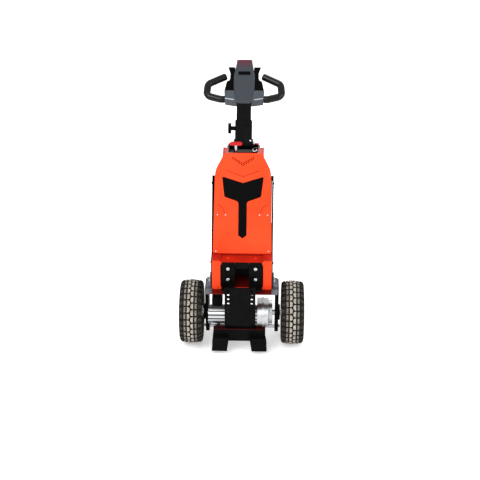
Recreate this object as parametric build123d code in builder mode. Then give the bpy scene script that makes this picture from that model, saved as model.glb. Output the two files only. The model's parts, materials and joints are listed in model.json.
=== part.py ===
"""Pedestrian electric tow tug with a tiller, as separate pieces in millimetres.

X runs across the machine, Y runs back from the hitch to the tiller head, Z is up from the floor.
The pieces are drawn with Y = 0 at the drive axle and moved to the middle of the whole at the end.
"""
import os
from math import cos, radians, sin, tan

from build123d import *

os.makedirs("parts", exist_ok=True)

# Clearances and small edges
RUN_FIT = 0.05
SEAT_FIT = 0.3
EDGE_ROUND = 5.0

# Drive wheels
TYRE_D = 270.0
TYRE_W = 94.0
TYRE_SHOULDER_R = 18.0
TYRE_CROWN_IN = 10.0
TYRE_CROWN_DROP = 5.0
TYRE_WALL_TUCK = 2.0
WHEEL_GAP = 4.5
RIM_SEAT_D = 110.0
RIM_WALL = 5.0
RIM_FLANGE_D = 126.0
RIM_FLANGE_T = 4.0
BEAD_W = 64.0
HUB_D = 46.0
HUB_RECESS = 3.0
HUB_OUTBOARD = 20.0
DISC_T = 8.0
DISC_HOLES = 5
DISC_HOLE_D = 14.0
SHAFT_D = 25.0

# Base frame
FRAME_W = 244.0
FRAME_FRONT_Y = -62.0
FRAME_REAR_Y = 296.0
FRAME_LIFT = 143.0
FRAME_H = 133.0
FRAME_WALL = 6.0
LEG_W = 35.0
LEG_ROUND = 8.0
SILL_H = 10.0
HEADER_H = 17.0
SHELF_OUT = 32.0
SHELF_BACK = 104.0
SHELF_ROUND = 6.0

# Cover and panels
COVER_SEAM = 2.0
COVER_SIDE_GAP = 1.0
COVER_H = 372.0
CAP_H = 79.0
NECK_H = 18.0
SHOULDER_H = 51.0
SHOULDER_TUCK = 6.0
SHOULDER_R = 70.0
NECK_R = 14.0
NECK_TOP_R = 12.0
COVER_SLOPE = 65.0
COVER_SIDE_D = 40.0
COVER_WALL = 3.0
COVER_ROUND = 6.0
BODY_INSET = 6.0
PANEL_T = 4.0
PANEL_GAP = 2.0
PANEL_SETBACK = 4.0
PANEL_LIFT = 4.0
PANEL_ROUND = 6.0
T_PANEL_T = 2.0
T_TOP_X = 85.0
T_TOP_UP = 315.0
T_NOTCH_UP = 289.0
T_ARM_X = 75.0
T_ARM_UP = 232.0
T_STEM_X = 17.0
T_STEM_TOP_UP = 212.0
T_STEM_LOW_UP = 74.0
T_POINT_UP = 62.0
T_TOP_R = 4.0
T_ARM_R = 10.0
T_NECK_R = 14.0
T_TIP_R = 3.0
CREASE_X = 66.0
CREASE_MID_UP = 313.0
CREASE_END_UP = 338.0
CREASE_W = 3.0
CREASE_DEPTH = 1.0
PAD_X = 113.0
PAD_UP = 164.0
PAD_R = 38.0
PAD_SWEEP = 75.0

# Top deck and its controls
DECK_SIDE = 23.0
DECK_BESIDE = 19.7
DECK_R = 12.0
DECK_FRONT_GAP = 3.0
DECK_REAR_GAP = 8.0
DECK_DEPTH = 14.0
DECK_WALL = 3.0
DECK_FLANGE = 6.0
KEY_EDGE = 1.0
KEY_D = 24.0
KEY_H = 12.0
KEY_CHAMFER = 2.0
KEY_BAR_L = 18.0
KEY_BAR_W = 7.0
KEY_BAR_H = 8.0
KEY_TURN = 30.0
DISCONNECT_X = -30.0
DISCONNECT_STEM_D = 12.0
DISCONNECT_STEM_H = 20.0
DISCONNECT_COLLAR_D = 22.0
DISCONNECT_COLLAR_H = 6.0
DISCONNECT_WING = 52.0
DISCONNECT_WING_H = 16.0
DISCONNECT_WING_T = 10.0
DISCONNECT_LAP = 2.0
DISCONNECT_ROUND = 3.0

# Battery pack
BATTERY_H = 220.0
BATTERY_SIDE_GAP = 16.0
BATTERY_FRONT_GAP = 4.0
BATTERY_REAR_GAP = 10.0

# Hitch
HITCH_X = -6.0
HITCH_W = 126.0
HITCH_T = 8.0
HITCH_CLEAR = 9.0
HITCH_ABOVE_FOOT = 13.0
HITCH_FLAT_L = 153.0
HITCH_ROLL_R = 48.0
HITCH_ROLL_DEG = 50.0
HITCH_ROUND = 6.0
HITCH_HOLE_D = 11.0
HITCH_ROWS = 7
HITCH_PITCH = 20.0
HITCH_COLUMNS = 96.0
HITCH_HOLE_DROP = 13.0
BRACKET_W = 54.0
BRACKET_GAP = 4.0
BRACKET_T = 6.0
BRACKET_FOOT_UP = 20.0
BRACKET_ROUND = 6.0
CENTRE_BRACKET_H = 27.0
CENTRE_BRACKET_DEG = 100.0

# Drive unit
MOTOR_D = 80.0
MOTOR_Y = -55.0
MOTOR_UP = 21.0
MOTOR_RIBS = 16
MOTOR_RIB_DEPTH = 3.0
MOTOR_RIB_GAP = 5.0
GEAR_W = 49.0
GEAR_AXLE_R = 52.0
GEAR_MOTOR_R = 43.0
GEAR_ROUND = 5.0
GEAR_FLANGE = 3.0
GEAR_FLANGE_W = 8.0
CASTING_GAP = 10.0
CASTING_D = 88.0
CASTING_L = 15.0
SHAFT_SOCKET = 40.0
AXLE_TUBE_D = 34.0
BRAKE_BOX_IN = 14.5
BRAKE_BOX_W = 43.0
BRAKE_BOX_D = 50.0
BRAKE_BOX_UP = 82.0

# Hangers and bearings
HANGER_OUT = 12.0
HANGER_T = 10.0
HANGER_TOP_L = 84.0
HANGER_BORE_GAP = 1.0
HANGER_TOE_R = 24.0
HANGER_BRACKET_T = 6.0
HANGER_BRACKET_H = 52.0
HANGER_BRACKET_L = 44.0
HANGER_BRACKET_Y = -28.0
BEARING_D = 66.0
BEARING_L = 12.0
BEARING_ROUND = 3.0
ROD_D = 16.0
ROD_OVERHANG = 5.0

# Front stand
STAND_X = -9.0
BEAM_W = 216.0
BEAM_Y = -104.0
BEAM_T = 18.0
BEAM_H = 54.0
TOE_INNER_X = 43.0
TOE_OUTER_X = 110.0
TOE_TAPER = 8.0
TOE_D = 24.0
TOE_GROUND = 18.0
TOE_LAP = 26.0
ARM_X = 91.0
ARM_T = 12.0
ARM_H = 24.0
STRIP_T = 4.0
STRIP_L = 28.0
STRIP_CLEAR = 3.0

# Rear caster
CASTER_IN = 64.0
CASTER_D = 200.0
CASTER_W = 46.0
CASTER_TRAIL = 45.0
CASTER_TREAD = 16.0
CASTER_ROUND = 5.0
CASTER_HUB_D = 44.0
CASTER_PIN_D = 16.0
CASTER_PLATE_L = 116.0
CASTER_PLATE_T = 9.0
RACE_D = 78.0
RACE_H = 16.0
KINGPIN_D = 20.0
CROWN_T = 14.0
FORK_GAP = 6.0
FORK_T = 6.0
FORK_EYE_R = 22.0
FORK_TOP_L = 60.0

# Tiller
PIVOT_UP = 25.0
PIVOT_D = 12.0
TILLER_LEAN = 60.0
OUTER_WALL = 4.7
OUTER_TUBE_L = 92.0
INNER_WALL = 4.0
INNER_TUBE_W = 60.0
INNER_TUBE_T = 30.0
INNER_TUBE_FOOT = 18.0
INNER_TUBE_OUT = 65.0
TUBE_ROUND = 5.0
TUBE_CHAMFER = 2.0
EAR_T = 4.0
EAR_R = 17.0
EAR_GAP = 1.2
EAR_FOOT_L = 34.0
CLEVIS_BASE_T = 6.0
KNOB_ALONG = 60.0
KNOB_D = 44.0
KNOB_T = 13.0
KNOB_LOBES = 6
KNOB_LOBE_R = 5.0
KNOB_WAIST = 3.0
KNOB_STEM_D = 18.0
KNOB_STEM_L = 16.0

# Tiller head
HEAD_LEAN = 40.0
HEAD_SOCKET = 16.0
HEAD_FOOT = -5.0
HEAD_FOOT_W = 54.0
HEAD_W = 88.0
HEAD_WAIST = 62.0
HEAD_SHOULDER = 128.0
HEAD_L = 194.0
HEAD_TIP_W = 66.0
HEAD_T = 52.0
HEAD_TIP_T = 34.0
HEAD_FOOT_R = 10.0
HEAD_SIDE_R = 150.0
HEAD_ROUND = 8.0
WING_W = 160.0
WING_MID_W = 84.0
WING_MID_LOW = 13.0
WING_LOW = 20.0
WING_HIGH = 59.0
WING_TOP = 20.0
WING_T = 56.0
WING_ROUND = 4.0
GRIP_D = 25.0
GRIP_DEPTH = 10.0
GRIP_LOW = 33.0
GRIP_ROOT = 18.0
GRIP_REACH = 77.0
GRIP_OUT_LOW = 49.0
GRIP_OUT_TOP = 105.0
GRIP_LEAN = 5.0
GRIP_END_GAP = 34.0
GRIP_END_UP = 143.0
GRIP_BEND_R = 24.0
POD_REACH = 30.0
POD_TAPER = 8.0
POD_L = 53.0
POD_ROUND = 12.0
POD_TOP = 12.0
POD_T = 38.0
PADDLE_FOOT_W = 18.0
PADDLE_WAIST_W = 14.0
PADDLE_TIP_W = 20.0
PADDLE_WAIST_UP = 14.0
PADDLE_WAIST_L = 14.0
PADDLE_L = 54.0
PADDLE_T = 9.0
BELLY_T = 12.0
BELLY_ROUND = 5.0
ROCKER_W = 50.0
ROCKER_L = 15.0
ROCKER_T = 3.0
ROCKER_ROUND = 4.0
ROCKER_ALONG = 137.0

# Places worked out from the sizes above
AXLE_Z = TYRE_D / 2
MOTOR_Z = AXLE_Z + MOTOR_UP
FRAME_FLOOR_Z = AXLE_Z + FRAME_LIFT
FRAME_TOP_Z = FRAME_FLOOR_Z + FRAME_H
SHELF_LOW_Z = FRAME_FLOOR_Z - FRAME_WALL
LEDGE_Z = FRAME_TOP_Z - FRAME_WALL
COVER_BOTTOM_Z = FRAME_TOP_Z + COVER_SEAM
COVER_TOP_Z = COVER_BOTTOM_Z + COVER_H
CAP_BOTTOM_Z = COVER_TOP_Z - CAP_H
NECK_Z = COVER_TOP_Z - NECK_H
SHOULDER_Z = NECK_Z - SHOULDER_H
COVER_BOTTOM_W = FRAME_W - 2 * COVER_SIDE_GAP
SHOULDER_W = COVER_BOTTOM_W - 2 * SHOULDER_TUCK
OUTER_TUBE_W = INNER_TUBE_W + 2 * (SEAT_FIT + OUTER_WALL)
OUTER_TUBE_T = INNER_TUBE_T + 2 * (SEAT_FIT + OUTER_WALL)
EAR_INNER_X = OUTER_TUBE_W / 2 + SEAT_FIT
DECK_W = 2 * (EAR_INNER_X + EAR_T + DECK_BESIDE + DECK_WALL)
NECK_W = DECK_W + 2 * DECK_SIDE
SLOPE_RUN = 1 / tan(radians(COVER_SLOPE))
COVER_TOP_Y = COVER_H * SLOPE_RUN
COVER_SKIN_RUN = COVER_WALL / sin(radians(COVER_SLOPE))
BODY_REAR_Y = FRAME_REAR_Y - BODY_INSET
PANEL_X = FRAME_W / 2
DECK_TOP_Z = COVER_TOP_Z - COVER_WALL
DECK_FLOOR_Z = DECK_TOP_Z - DECK_DEPTH
DECK_FRONT_Y = COVER_TOP_Y + COVER_SKIN_RUN + DECK_FRONT_GAP
DECK_REAR_Y = BODY_REAR_Y - COVER_WALL - DECK_REAR_GAP
CONTROL_Y = DECK_FRONT_Y + DECK_WALL + KEY_D / 2
KEY_X = DECK_W / 2 - DECK_WALL - KEY_EDGE - KEY_D / 2
BATTERY_LOW_Z = FRAME_FLOOR_Z + FRAME_WALL
BATTERY_W = FRAME_W - 2 * FRAME_WALL - 2 * BATTERY_SIDE_GAP
BATTERY_COVER_Y = (BATTERY_LOW_Z + BATTERY_H - COVER_BOTTOM_Z) * SLOPE_RUN + COVER_SKIN_RUN
BATTERY_FRONT_Y = BATTERY_COVER_Y + BATTERY_FRONT_GAP
BATTERY_REAR_Y = FRAME_REAR_Y - FRAME_WALL - BATTERY_REAR_GAP
BRACKET_X = FRAME_W / 2 - LEG_W - BRACKET_GAP - BRACKET_W / 2
BRACKET_FOOT_Z = FRAME_FLOOR_Z + BRACKET_FOOT_UP
HITCH_Y = MOTOR_Y - MOTOR_D / 2 - HITCH_CLEAR
HITCH_TOP_Z = BRACKET_FOOT_Z + HITCH_ABOVE_FOOT
HITCH_BEND_Z = HITCH_TOP_Z - HITCH_FLAT_L
HITCH_END_Z = HITCH_BEND_Z - (HITCH_ROLL_R + HITCH_T) * sin(radians(HITCH_ROLL_DEG))
BEAM_TOP_Z = HITCH_END_Z - STRIP_CLEAR - STRIP_T
BEAM_LOW_Z = BEAM_TOP_Z - BEAM_H
ROD_Z = BEAM_LOW_Z + ARM_H / 2
HANGER_X = PANEL_X + PANEL_T + HANGER_OUT
HANGER_BORE_D = AXLE_TUBE_D + 2 * HANGER_BORE_GAP
BEARING_X = HANGER_X + HANGER_T
WHEEL_X = BEARING_X + BEARING_L + WHEEL_GAP + TYRE_W / 2
HUB_INBOARD = TYRE_W / 2 - HUB_RECESS
GEAR_OUTER_X = HANGER_X - CASTING_GAP - CASTING_L
GEAR_INNER_X = GEAR_OUTER_X - GEAR_W
BRAKE_BOX_X = BRAKE_BOX_IN + BRAKE_BOX_W / 2 - HANGER_X
CASTER_Y = FRAME_REAR_Y - CASTER_IN
CASTER_AXLE_Y = CASTER_Y - CASTER_TRAIL
CASTER_AXLE_Z = CASTER_D / 2
RACE_LOW_Z = FRAME_FLOOR_Z - CASTER_PLATE_T - RACE_H
CROWN_TOP_Z = RACE_LOW_Z - SEAT_FIT
CROWN_LOW_Z = CROWN_TOP_Z - CROWN_T
FORK_INNER_X = CASTER_W / 2 + FORK_GAP
PIVOT_Y = CONTROL_Y + KEY_D / 2 + EAR_GAP + EAR_FOOT_L / 2
PIVOT_Z = COVER_TOP_Z + PIVOT_UP
POD_HIGH = WING_HIGH + POD_L
GRIP_OUT_X = WING_W / 2 + GRIP_REACH

axle_axis = Plane(origin=(0, 0, AXLE_Z), x_dir=(0, 1, 0), z_dir=(1, 0, 0))
motor_axis = Plane(origin=(0, MOTOR_Y, MOTOR_Z), x_dir=(0, 1, 0), z_dir=(1, 0, 0))
rod_axis = Plane(origin=(0, 0, ROD_Z), x_dir=(0, 1, 0), z_dir=(1, 0, 0))
side_view = Plane.YZ
cover_face = Plane(
    origin=(0, 0, COVER_BOTTOM_Z),
    x_dir=(1, 0, 0),
    z_dir=(0, -sin(radians(COVER_SLOPE)), cos(radians(COVER_SLOPE))),
)
tiller_along = Vector(0, cos(radians(TILLER_LEAN)), sin(radians(TILLER_LEAN)))
tiller_side = Plane(origin=(0, PIVOT_Y, PIVOT_Z), x_dir=tiller_along, z_dir=(1, 0, 0))
tiller_end = Plane(origin=(0, PIVOT_Y, PIVOT_Z), x_dir=(1, 0, 0), z_dir=tiller_along)
head_foot = Vector(0, PIVOT_Y, PIVOT_Z) + tiller_along * (OUTER_TUBE_L + INNER_TUBE_OUT)
head_up = Vector(0, cos(radians(HEAD_LEAN)), sin(radians(HEAD_LEAN)))
head_out = Vector(0, -sin(radians(HEAD_LEAN)), cos(radians(HEAD_LEAN)))
head_face = Plane(origin=head_foot, x_dir=(1, 0, 0), z_dir=head_out)
head_side = Plane(origin=head_foot, x_dir=head_up, z_dir=(1, 0, 0))
pieces = {}


# Base frame: an open welded box with two front legs round a window, and a cross shelf under it
with BuildPart() as base_frame:
    frame_l = FRAME_REAR_Y - FRAME_FRONT_Y
    frame_y = (FRAME_FRONT_Y + FRAME_REAR_Y) / 2
    window_w = FRAME_W - 2 * LEG_W
    window_h = FRAME_H - SILL_H - HEADER_H
    with BuildSketch(Plane.XY.offset(FRAME_FLOOR_Z)):
        with Locations((0, frame_y)):
            Rectangle(FRAME_W, frame_l)
    extrude(amount=FRAME_H)
    fillet(base_frame.edges().filter_by(Axis.Y).group_by(Axis.Z)[0], LEG_ROUND)
    with BuildSketch(Plane.XY.offset(FRAME_FLOOR_Z + FRAME_WALL)):
        with Locations((0, frame_y)):
            Rectangle(FRAME_W - 2 * FRAME_WALL, frame_l - 2 * FRAME_WALL)
    extrude(amount=FRAME_H - 2 * FRAME_WALL, mode=Mode.SUBTRACT)
    with BuildSketch(Plane.XY.offset(FRAME_TOP_Z)):
        with Locations((0, (FRAME_REAR_Y - FRAME_WALL) / 2)):
            Rectangle(FRAME_W - 2 * FRAME_WALL, FRAME_REAR_Y - FRAME_WALL)
    extrude(amount=-FRAME_WALL, mode=Mode.SUBTRACT)
    # The ledge between the legs lies one wall lower than their tops
    with BuildSketch(Plane.XY.offset(LEDGE_Z)):
        with Locations((0, FRAME_FRONT_Y / 2)):
            Rectangle(window_w + 2 * FRAME_WALL, -FRAME_FRONT_Y)
    extrude(amount=-FRAME_WALL)
    with BuildSketch(Plane.XY.offset(FRAME_TOP_Z)):
        with Locations((0, FRAME_FRONT_Y / 2)):
            Rectangle(window_w, -FRAME_FRONT_Y)
    extrude(amount=-FRAME_WALL, mode=Mode.SUBTRACT)
    with BuildSketch(Plane.XZ.offset(-FRAME_FRONT_Y)):
        with Locations((0, FRAME_FLOOR_Z + SILL_H + window_h / 2)):
            RectangleRounded(window_w, window_h, LEG_ROUND)
    extrude(amount=-FRAME_WALL, mode=Mode.SUBTRACT)
    with BuildSketch(Plane.XY.offset(FRAME_FLOOR_Z)):
        with Locations((0, FRAME_FRONT_Y + (SHELF_BACK - SHELF_OUT) / 2)):
            RectangleRounded(2 * BEARING_X, SHELF_OUT + SHELF_BACK, SHELF_ROUND)
    extrude(amount=-FRAME_WALL)
pieces["base_frame"] = base_frame


# Front cover: a thin moulded shell with a raked face, rounded shoulders and a cap that reaches the rear
def cover_solid(inset):
    """The cover's outer form, or with an inset the hollow inside it, open at the foot and the back."""
    top_z = COVER_TOP_Z - inset
    rear_y = BODY_REAR_Y - inset
    front_y = inset / sin(radians(COVER_SLOPE))
    skirt_z = COVER_BOTTOM_Z - COVER_SIDE_D
    skirt_x = COVER_BOTTOM_W / 2 + SHOULDER_TUCK * COVER_SIDE_D / (SHOULDER_Z - COVER_BOTTOM_Z)
    cap_y = COVER_SIDE_D + (CAP_BOTTOM_Z - COVER_BOTTOM_Z) * SLOPE_RUN
    low_z = COVER_BOTTOM_Z
    back = [(rear_y, CAP_BOTTOM_Z), (cap_y, CAP_BOTTOM_Z), (COVER_SIDE_D, low_z)]
    if inset > 0:
        low_z = skirt_z
        back = [(rear_y, low_z)]
    low_y = front_y + (low_z - COVER_BOTTOM_Z) * SLOPE_RUN
    top_y = front_y + (top_z - COVER_BOTTOM_Z) * SLOPE_RUN
    with BuildPart() as form:
        with BuildSketch(Plane.XZ.offset(COVER_SIDE_D)):
            with BuildLine():
                FilletPolyline(
                    (0, skirt_z),
                    (skirt_x - inset, skirt_z),
                    (SHOULDER_W / 2 - inset, SHOULDER_Z),
                    (NECK_W / 2 - inset, NECK_Z),
                    (NECK_W / 2 - inset, top_z),
                    (0, top_z),
                    radius=(0, SHOULDER_R - inset, NECK_R + inset, NECK_TOP_R - inset),
                )
                Line((0, top_z), (0, skirt_z))
            make_face()
            mirror(about=Plane.YZ)
        extrude(amount=-BODY_REAR_Y - COVER_SIDE_D)
        with BuildSketch(side_view):
            with BuildLine():
                Polyline((low_y, low_z), (top_y, top_z), (rear_y, top_z), *back, close=True)
            make_face()
        extrude(amount=COVER_BOTTOM_W, both=True, mode=Mode.INTERSECT)
    return form.part


with BuildPart() as front_cover:
    add(cover_solid(0))
    raked = front_cover.faces().sort_by(Axis.Y)[0]
    fillet(raked.edges().filter_by(Axis.X, reverse=True), COVER_ROUND)
    add(cover_solid(COVER_WALL), mode=Mode.SUBTRACT)
    with BuildSketch(Plane.XY.offset(COVER_TOP_Z)):
        with Locations((0, (DECK_FRONT_Y + DECK_REAR_Y) / 2)):
            RectangleRounded(DECK_W, DECK_REAR_Y - DECK_FRONT_Y, DECK_R)
    extrude(amount=-COVER_WALL, mode=Mode.SUBTRACT)
    # Shallow grooves: a chevron above the T panel and a quarter round at each side
    with BuildSketch(cover_face):
        with BuildLine():
            Polyline(
                (0, CREASE_MID_UP),
                (CREASE_X, CREASE_END_UP),
                (CREASE_X, CREASE_END_UP + CREASE_W),
                (0, CREASE_MID_UP + CREASE_W),
                close=True,
            )
        make_face()
        with BuildLine():
            CenterArc((PAD_X, PAD_UP), PAD_R, 180 - PAD_SWEEP, PAD_SWEEP)
        trace(line_width=CREASE_W)
        mirror(about=Plane.YZ)
    extrude(amount=-CREASE_DEPTH, mode=Mode.SUBTRACT)
pieces["front_cover"] = front_cover


# T panel: a flat inlay on the raked face, with a notched top and a pointed stem
with BuildPart() as cover_t_panel:
    with BuildSketch(cover_face):
        with BuildLine():
            FilletPolyline(
                (0, T_NOTCH_UP),
                (T_TOP_X, T_TOP_UP),
                (T_ARM_X, T_ARM_UP),
                (T_STEM_X, T_STEM_TOP_UP),
                (T_STEM_X, T_STEM_LOW_UP),
                (0, T_POINT_UP),
                radius=(T_TOP_R, T_ARM_R, T_NECK_R, T_TIP_R),
            )
            Line((0, T_POINT_UP), (0, T_NOTCH_UP))
        make_face()
        mirror(about=Plane.YZ)
    extrude(amount=T_PANEL_T)
pieces["cover_t_panel"] = cover_t_panel


# Side panels: flat sheets from the frame up to the shoulders, their front edge along the cover
def side_panel(sign):
    low_y = FRAME_FRONT_Y + PANEL_SETBACK
    low_z = FRAME_FLOOR_Z + PANEL_LIFT
    top_z = SHOULDER_Z - PANEL_GAP
    with BuildPart() as panel:
        with BuildSketch(side_view.offset(sign * PANEL_X)):
            with BuildLine():
                FilletPolyline(
                    (low_y, low_z),
                    (low_y, FRAME_TOP_Z),
                    (-COVER_SEAM * SLOPE_RUN, FRAME_TOP_Z),
                    ((top_z - COVER_BOTTOM_Z) * SLOPE_RUN, top_z),
                    (BODY_REAR_Y, top_z),
                    (BODY_REAR_Y, low_z),
                    radius=PANEL_ROUND,
                    close=True,
                )
            make_face()
        extrude(amount=sign * PANEL_T)
    return panel


pieces["side_panel_left"] = side_panel(-1)
pieces["side_panel_right"] = side_panel(1)

# Rear panel: a flat sheet behind the frame and the cap
with BuildPart() as rear_panel:
    panel_low_z = FRAME_TOP_Z + SEAT_FIT
    with BuildSketch(Plane.XZ.offset(-BODY_REAR_Y)):
        with Locations((0, (panel_low_z + SHOULDER_Z) / 2)):
            RectangleRounded(COVER_BOTTOM_W, SHOULDER_Z - panel_low_z, EDGE_ROUND)
    extrude(amount=-PANEL_T)
pieces["rear_panel"] = rear_panel

# Top deck: a shallow tray hung by its flange under the cap's opening
with BuildPart() as top_deck:
    deck_l = DECK_REAR_Y - DECK_FRONT_Y
    deck_y = (DECK_FRONT_Y + DECK_REAR_Y) / 2
    flange_l = deck_l + 2 * (DECK_FRONT_GAP - SEAT_FIT)
    with BuildSketch(Plane.XY.offset(DECK_TOP_Z)):
        with Locations((0, deck_y)):
            RectangleRounded(DECK_W + 2 * DECK_FLANGE, flange_l, DECK_R)
    extrude(amount=-DECK_WALL)
    with BuildSketch(Plane.XY.offset(DECK_TOP_Z)):
        with Locations((0, deck_y)):
            RectangleRounded(DECK_W, deck_l, DECK_R)
    extrude(amount=-DECK_DEPTH - DECK_WALL)
    with BuildSketch(Plane.XY.offset(DECK_TOP_Z)):
        with Locations((0, deck_y)):
            RectangleRounded(DECK_W - 2 * DECK_WALL, deck_l - 2 * DECK_WALL, DECK_R - DECK_WALL)
    extrude(amount=-DECK_DEPTH, mode=Mode.SUBTRACT)
pieces["top_deck"] = top_deck

# Key switch: a round bezel with a turned key bar on top
with BuildPart() as key_switch:
    with BuildSketch(Plane.XY.offset(DECK_FLOOR_Z)):
        with Locations((KEY_X, CONTROL_Y)):
            Circle(KEY_D / 2)
    extrude(amount=KEY_H)
    chamfer(key_switch.edges().group_by(Axis.Z)[-1], KEY_CHAMFER)
    with BuildSketch(Plane.XY.offset(DECK_FLOOR_Z + KEY_H)):
        with Locations((KEY_X, CONTROL_Y)):
            SlotOverall(KEY_BAR_L, KEY_BAR_W, rotation=KEY_TURN)
    extrude(amount=KEY_BAR_H)
pieces["key_switch"] = key_switch

# Battery disconnect: a rounded wing on a stem with a collar
with BuildPart() as battery_disconnect:
    wing_z = DECK_FLOOR_Z + DISCONNECT_STEM_H - DISCONNECT_LAP + DISCONNECT_WING_H / 2
    with BuildSketch(Plane.XZ.offset(-CONTROL_Y)):
        with Locations((DISCONNECT_X, wing_z)):
            SlotOverall(DISCONNECT_WING, DISCONNECT_WING_H)
    extrude(amount=DISCONNECT_WING_T / 2, both=True)
    fillet(battery_disconnect.faces().filter_by(Axis.Y).edges(), DISCONNECT_ROUND)
    for diameter, height in (
        (DISCONNECT_STEM_D, DISCONNECT_STEM_H),
        (DISCONNECT_COLLAR_D, DISCONNECT_COLLAR_H),
    ):
        with BuildSketch(Plane.XY.offset(DECK_FLOOR_Z)):
            with Locations((DISCONNECT_X, CONTROL_Y)):
                Circle(diameter / 2)
        extrude(amount=height)
pieces["battery_disconnect"] = battery_disconnect

# Battery pack: one plain block on the frame's floor
with BuildPart() as battery_pack:
    with BuildSketch(Plane.XY.offset(BATTERY_LOW_Z)):
        with Locations((0, (BATTERY_FRONT_Y + BATTERY_REAR_Y) / 2)):
            RectangleRounded(BATTERY_W, BATTERY_REAR_Y - BATTERY_FRONT_Y, EDGE_ROUND)
    extrude(amount=BATTERY_H)
pieces["battery_pack"] = battery_pack

# Tiller clevis: a base plate, two rounded ears and the pivot pin between them
with BuildPart() as tiller_clevis:
    with BuildSketch(Plane.XY.offset(DECK_FLOOR_Z)):
        with Locations((0, PIVOT_Y)):
            Rectangle(2 * (EAR_INNER_X + EAR_T), EAR_FOOT_L)
    extrude(amount=CLEVIS_BASE_T)
    for sign in (-1, 1):
        with BuildSketch(side_view.offset(sign * EAR_INNER_X)):
            with Locations((PIVOT_Y, PIVOT_Z)):
                Circle(EAR_R)
            with Locations((PIVOT_Y, DECK_FLOOR_Z + CLEVIS_BASE_T / 2)):
                Rectangle(EAR_FOOT_L, CLEVIS_BASE_T)
            make_hull()
        extrude(amount=sign * EAR_T)
    with BuildSketch(tiller_side):
        Circle(PIVOT_D / 2)
    extrude(amount=EAR_INNER_X + EAR_T, both=True)
pieces["tiller_clevis"] = tiller_clevis

# Hitch plate: a flat plate with two columns of holes, its lower end rolled back
with BuildPart() as hitch_plate:
    roll_centre = (HITCH_Y + HITCH_ROLL_R, HITCH_BEND_Z)
    with BuildSketch(side_view.offset(HITCH_X)):
        with BuildLine():
            back_roll = CenterArc(roll_centre, HITCH_ROLL_R, 180, HITCH_ROLL_DEG)
            front_roll = CenterArc(roll_centre, HITCH_ROLL_R + HITCH_T, 180, HITCH_ROLL_DEG)
            Line(back_roll @ 1, front_roll @ 1)
            Polyline(
                back_roll @ 0,
                (HITCH_Y, HITCH_TOP_Z),
                (HITCH_Y - HITCH_T, HITCH_TOP_Z),
                front_roll @ 0,
            )
        make_face()
    extrude(amount=HITCH_W / 2, both=True)
    fillet(hitch_plate.edges().filter_by(Axis.Y).group_by(Axis.Z)[-1], HITCH_ROUND)
    with BuildSketch(Plane.XZ.offset(-HITCH_Y)):
        for row in range(HITCH_ROWS):
            row_z = HITCH_TOP_Z - HITCH_HOLE_DROP - row * HITCH_PITCH
            with Locations((HITCH_X - HITCH_COLUMNS / 2, row_z), (HITCH_X + HITCH_COLUMNS / 2, row_z)):
                Circle(HITCH_HOLE_D / 2)
    extrude(amount=HITCH_T, mode=Mode.SUBTRACT)
pieces["hitch_plate"] = hitch_plate


# Hitch brackets: bent plates from the frame's header down and out to the hitch plate
def hitch_bracket(sign):
    with BuildPart() as bracket:
        with BuildSketch(side_view.offset(sign * BRACKET_X)):
            with BuildLine():
                Polyline(
                    (FRAME_FRONT_Y, LEDGE_Z),
                    (FRAME_FRONT_Y, BRACKET_FOOT_Z - BRACKET_T),
                    (HITCH_Y, BRACKET_FOOT_Z - BRACKET_T),
                    (HITCH_Y, BRACKET_FOOT_Z),
                    (FRAME_FRONT_Y - BRACKET_T, BRACKET_FOOT_Z),
                    (FRAME_FRONT_Y - BRACKET_T, LEDGE_Z),
                    close=True,
                )
            make_face()
        extrude(amount=BRACKET_W / 2, both=True)
        fillet(bracket.edges().filter_by(Axis.Y).group_by(Axis.Z)[-1], BRACKET_ROUND)
    return bracket


pieces["hitch_bracket_left"] = hitch_bracket(-1)
pieces["hitch_bracket_right"] = hitch_bracket(1)

# Centre bracket: a short plate on the header between the hitch brackets
with BuildPart() as centre_bracket:
    centre_w = 2 * BRACKET_X - BRACKET_W - 2 * SEAT_FIT
    with BuildSketch(Plane.XZ.offset(-FRAME_FRONT_Y)):
        with Locations((0, LEDGE_Z - CENTRE_BRACKET_H / 2)):
            Trapezoid(centre_w, CENTRE_BRACKET_H, CENTRE_BRACKET_DEG)
    extrude(amount=BRACKET_T)
pieces["centre_bracket"] = centre_bracket

# Drive motor: a cylinder along X with ribs all round, from the left hanger to the gear case
with BuildPart() as drive_motor:
    motor_l = HANGER_X + GEAR_INNER_X
    with BuildSketch(motor_axis.offset(-HANGER_X)):
        Circle(MOTOR_D / 2)
    extrude(amount=motor_l)
    with BuildSketch(motor_axis.offset(-HANGER_X + MOTOR_RIB_GAP)):
        with PolarLocations(MOTOR_D / 2, MOTOR_RIBS):
            Rectangle(2 * MOTOR_RIB_DEPTH, MOTOR_RIB_GAP)
    extrude(amount=motor_l - 2 * MOTOR_RIB_GAP, mode=Mode.SUBTRACT)
pieces["drive_motor"] = drive_motor

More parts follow.
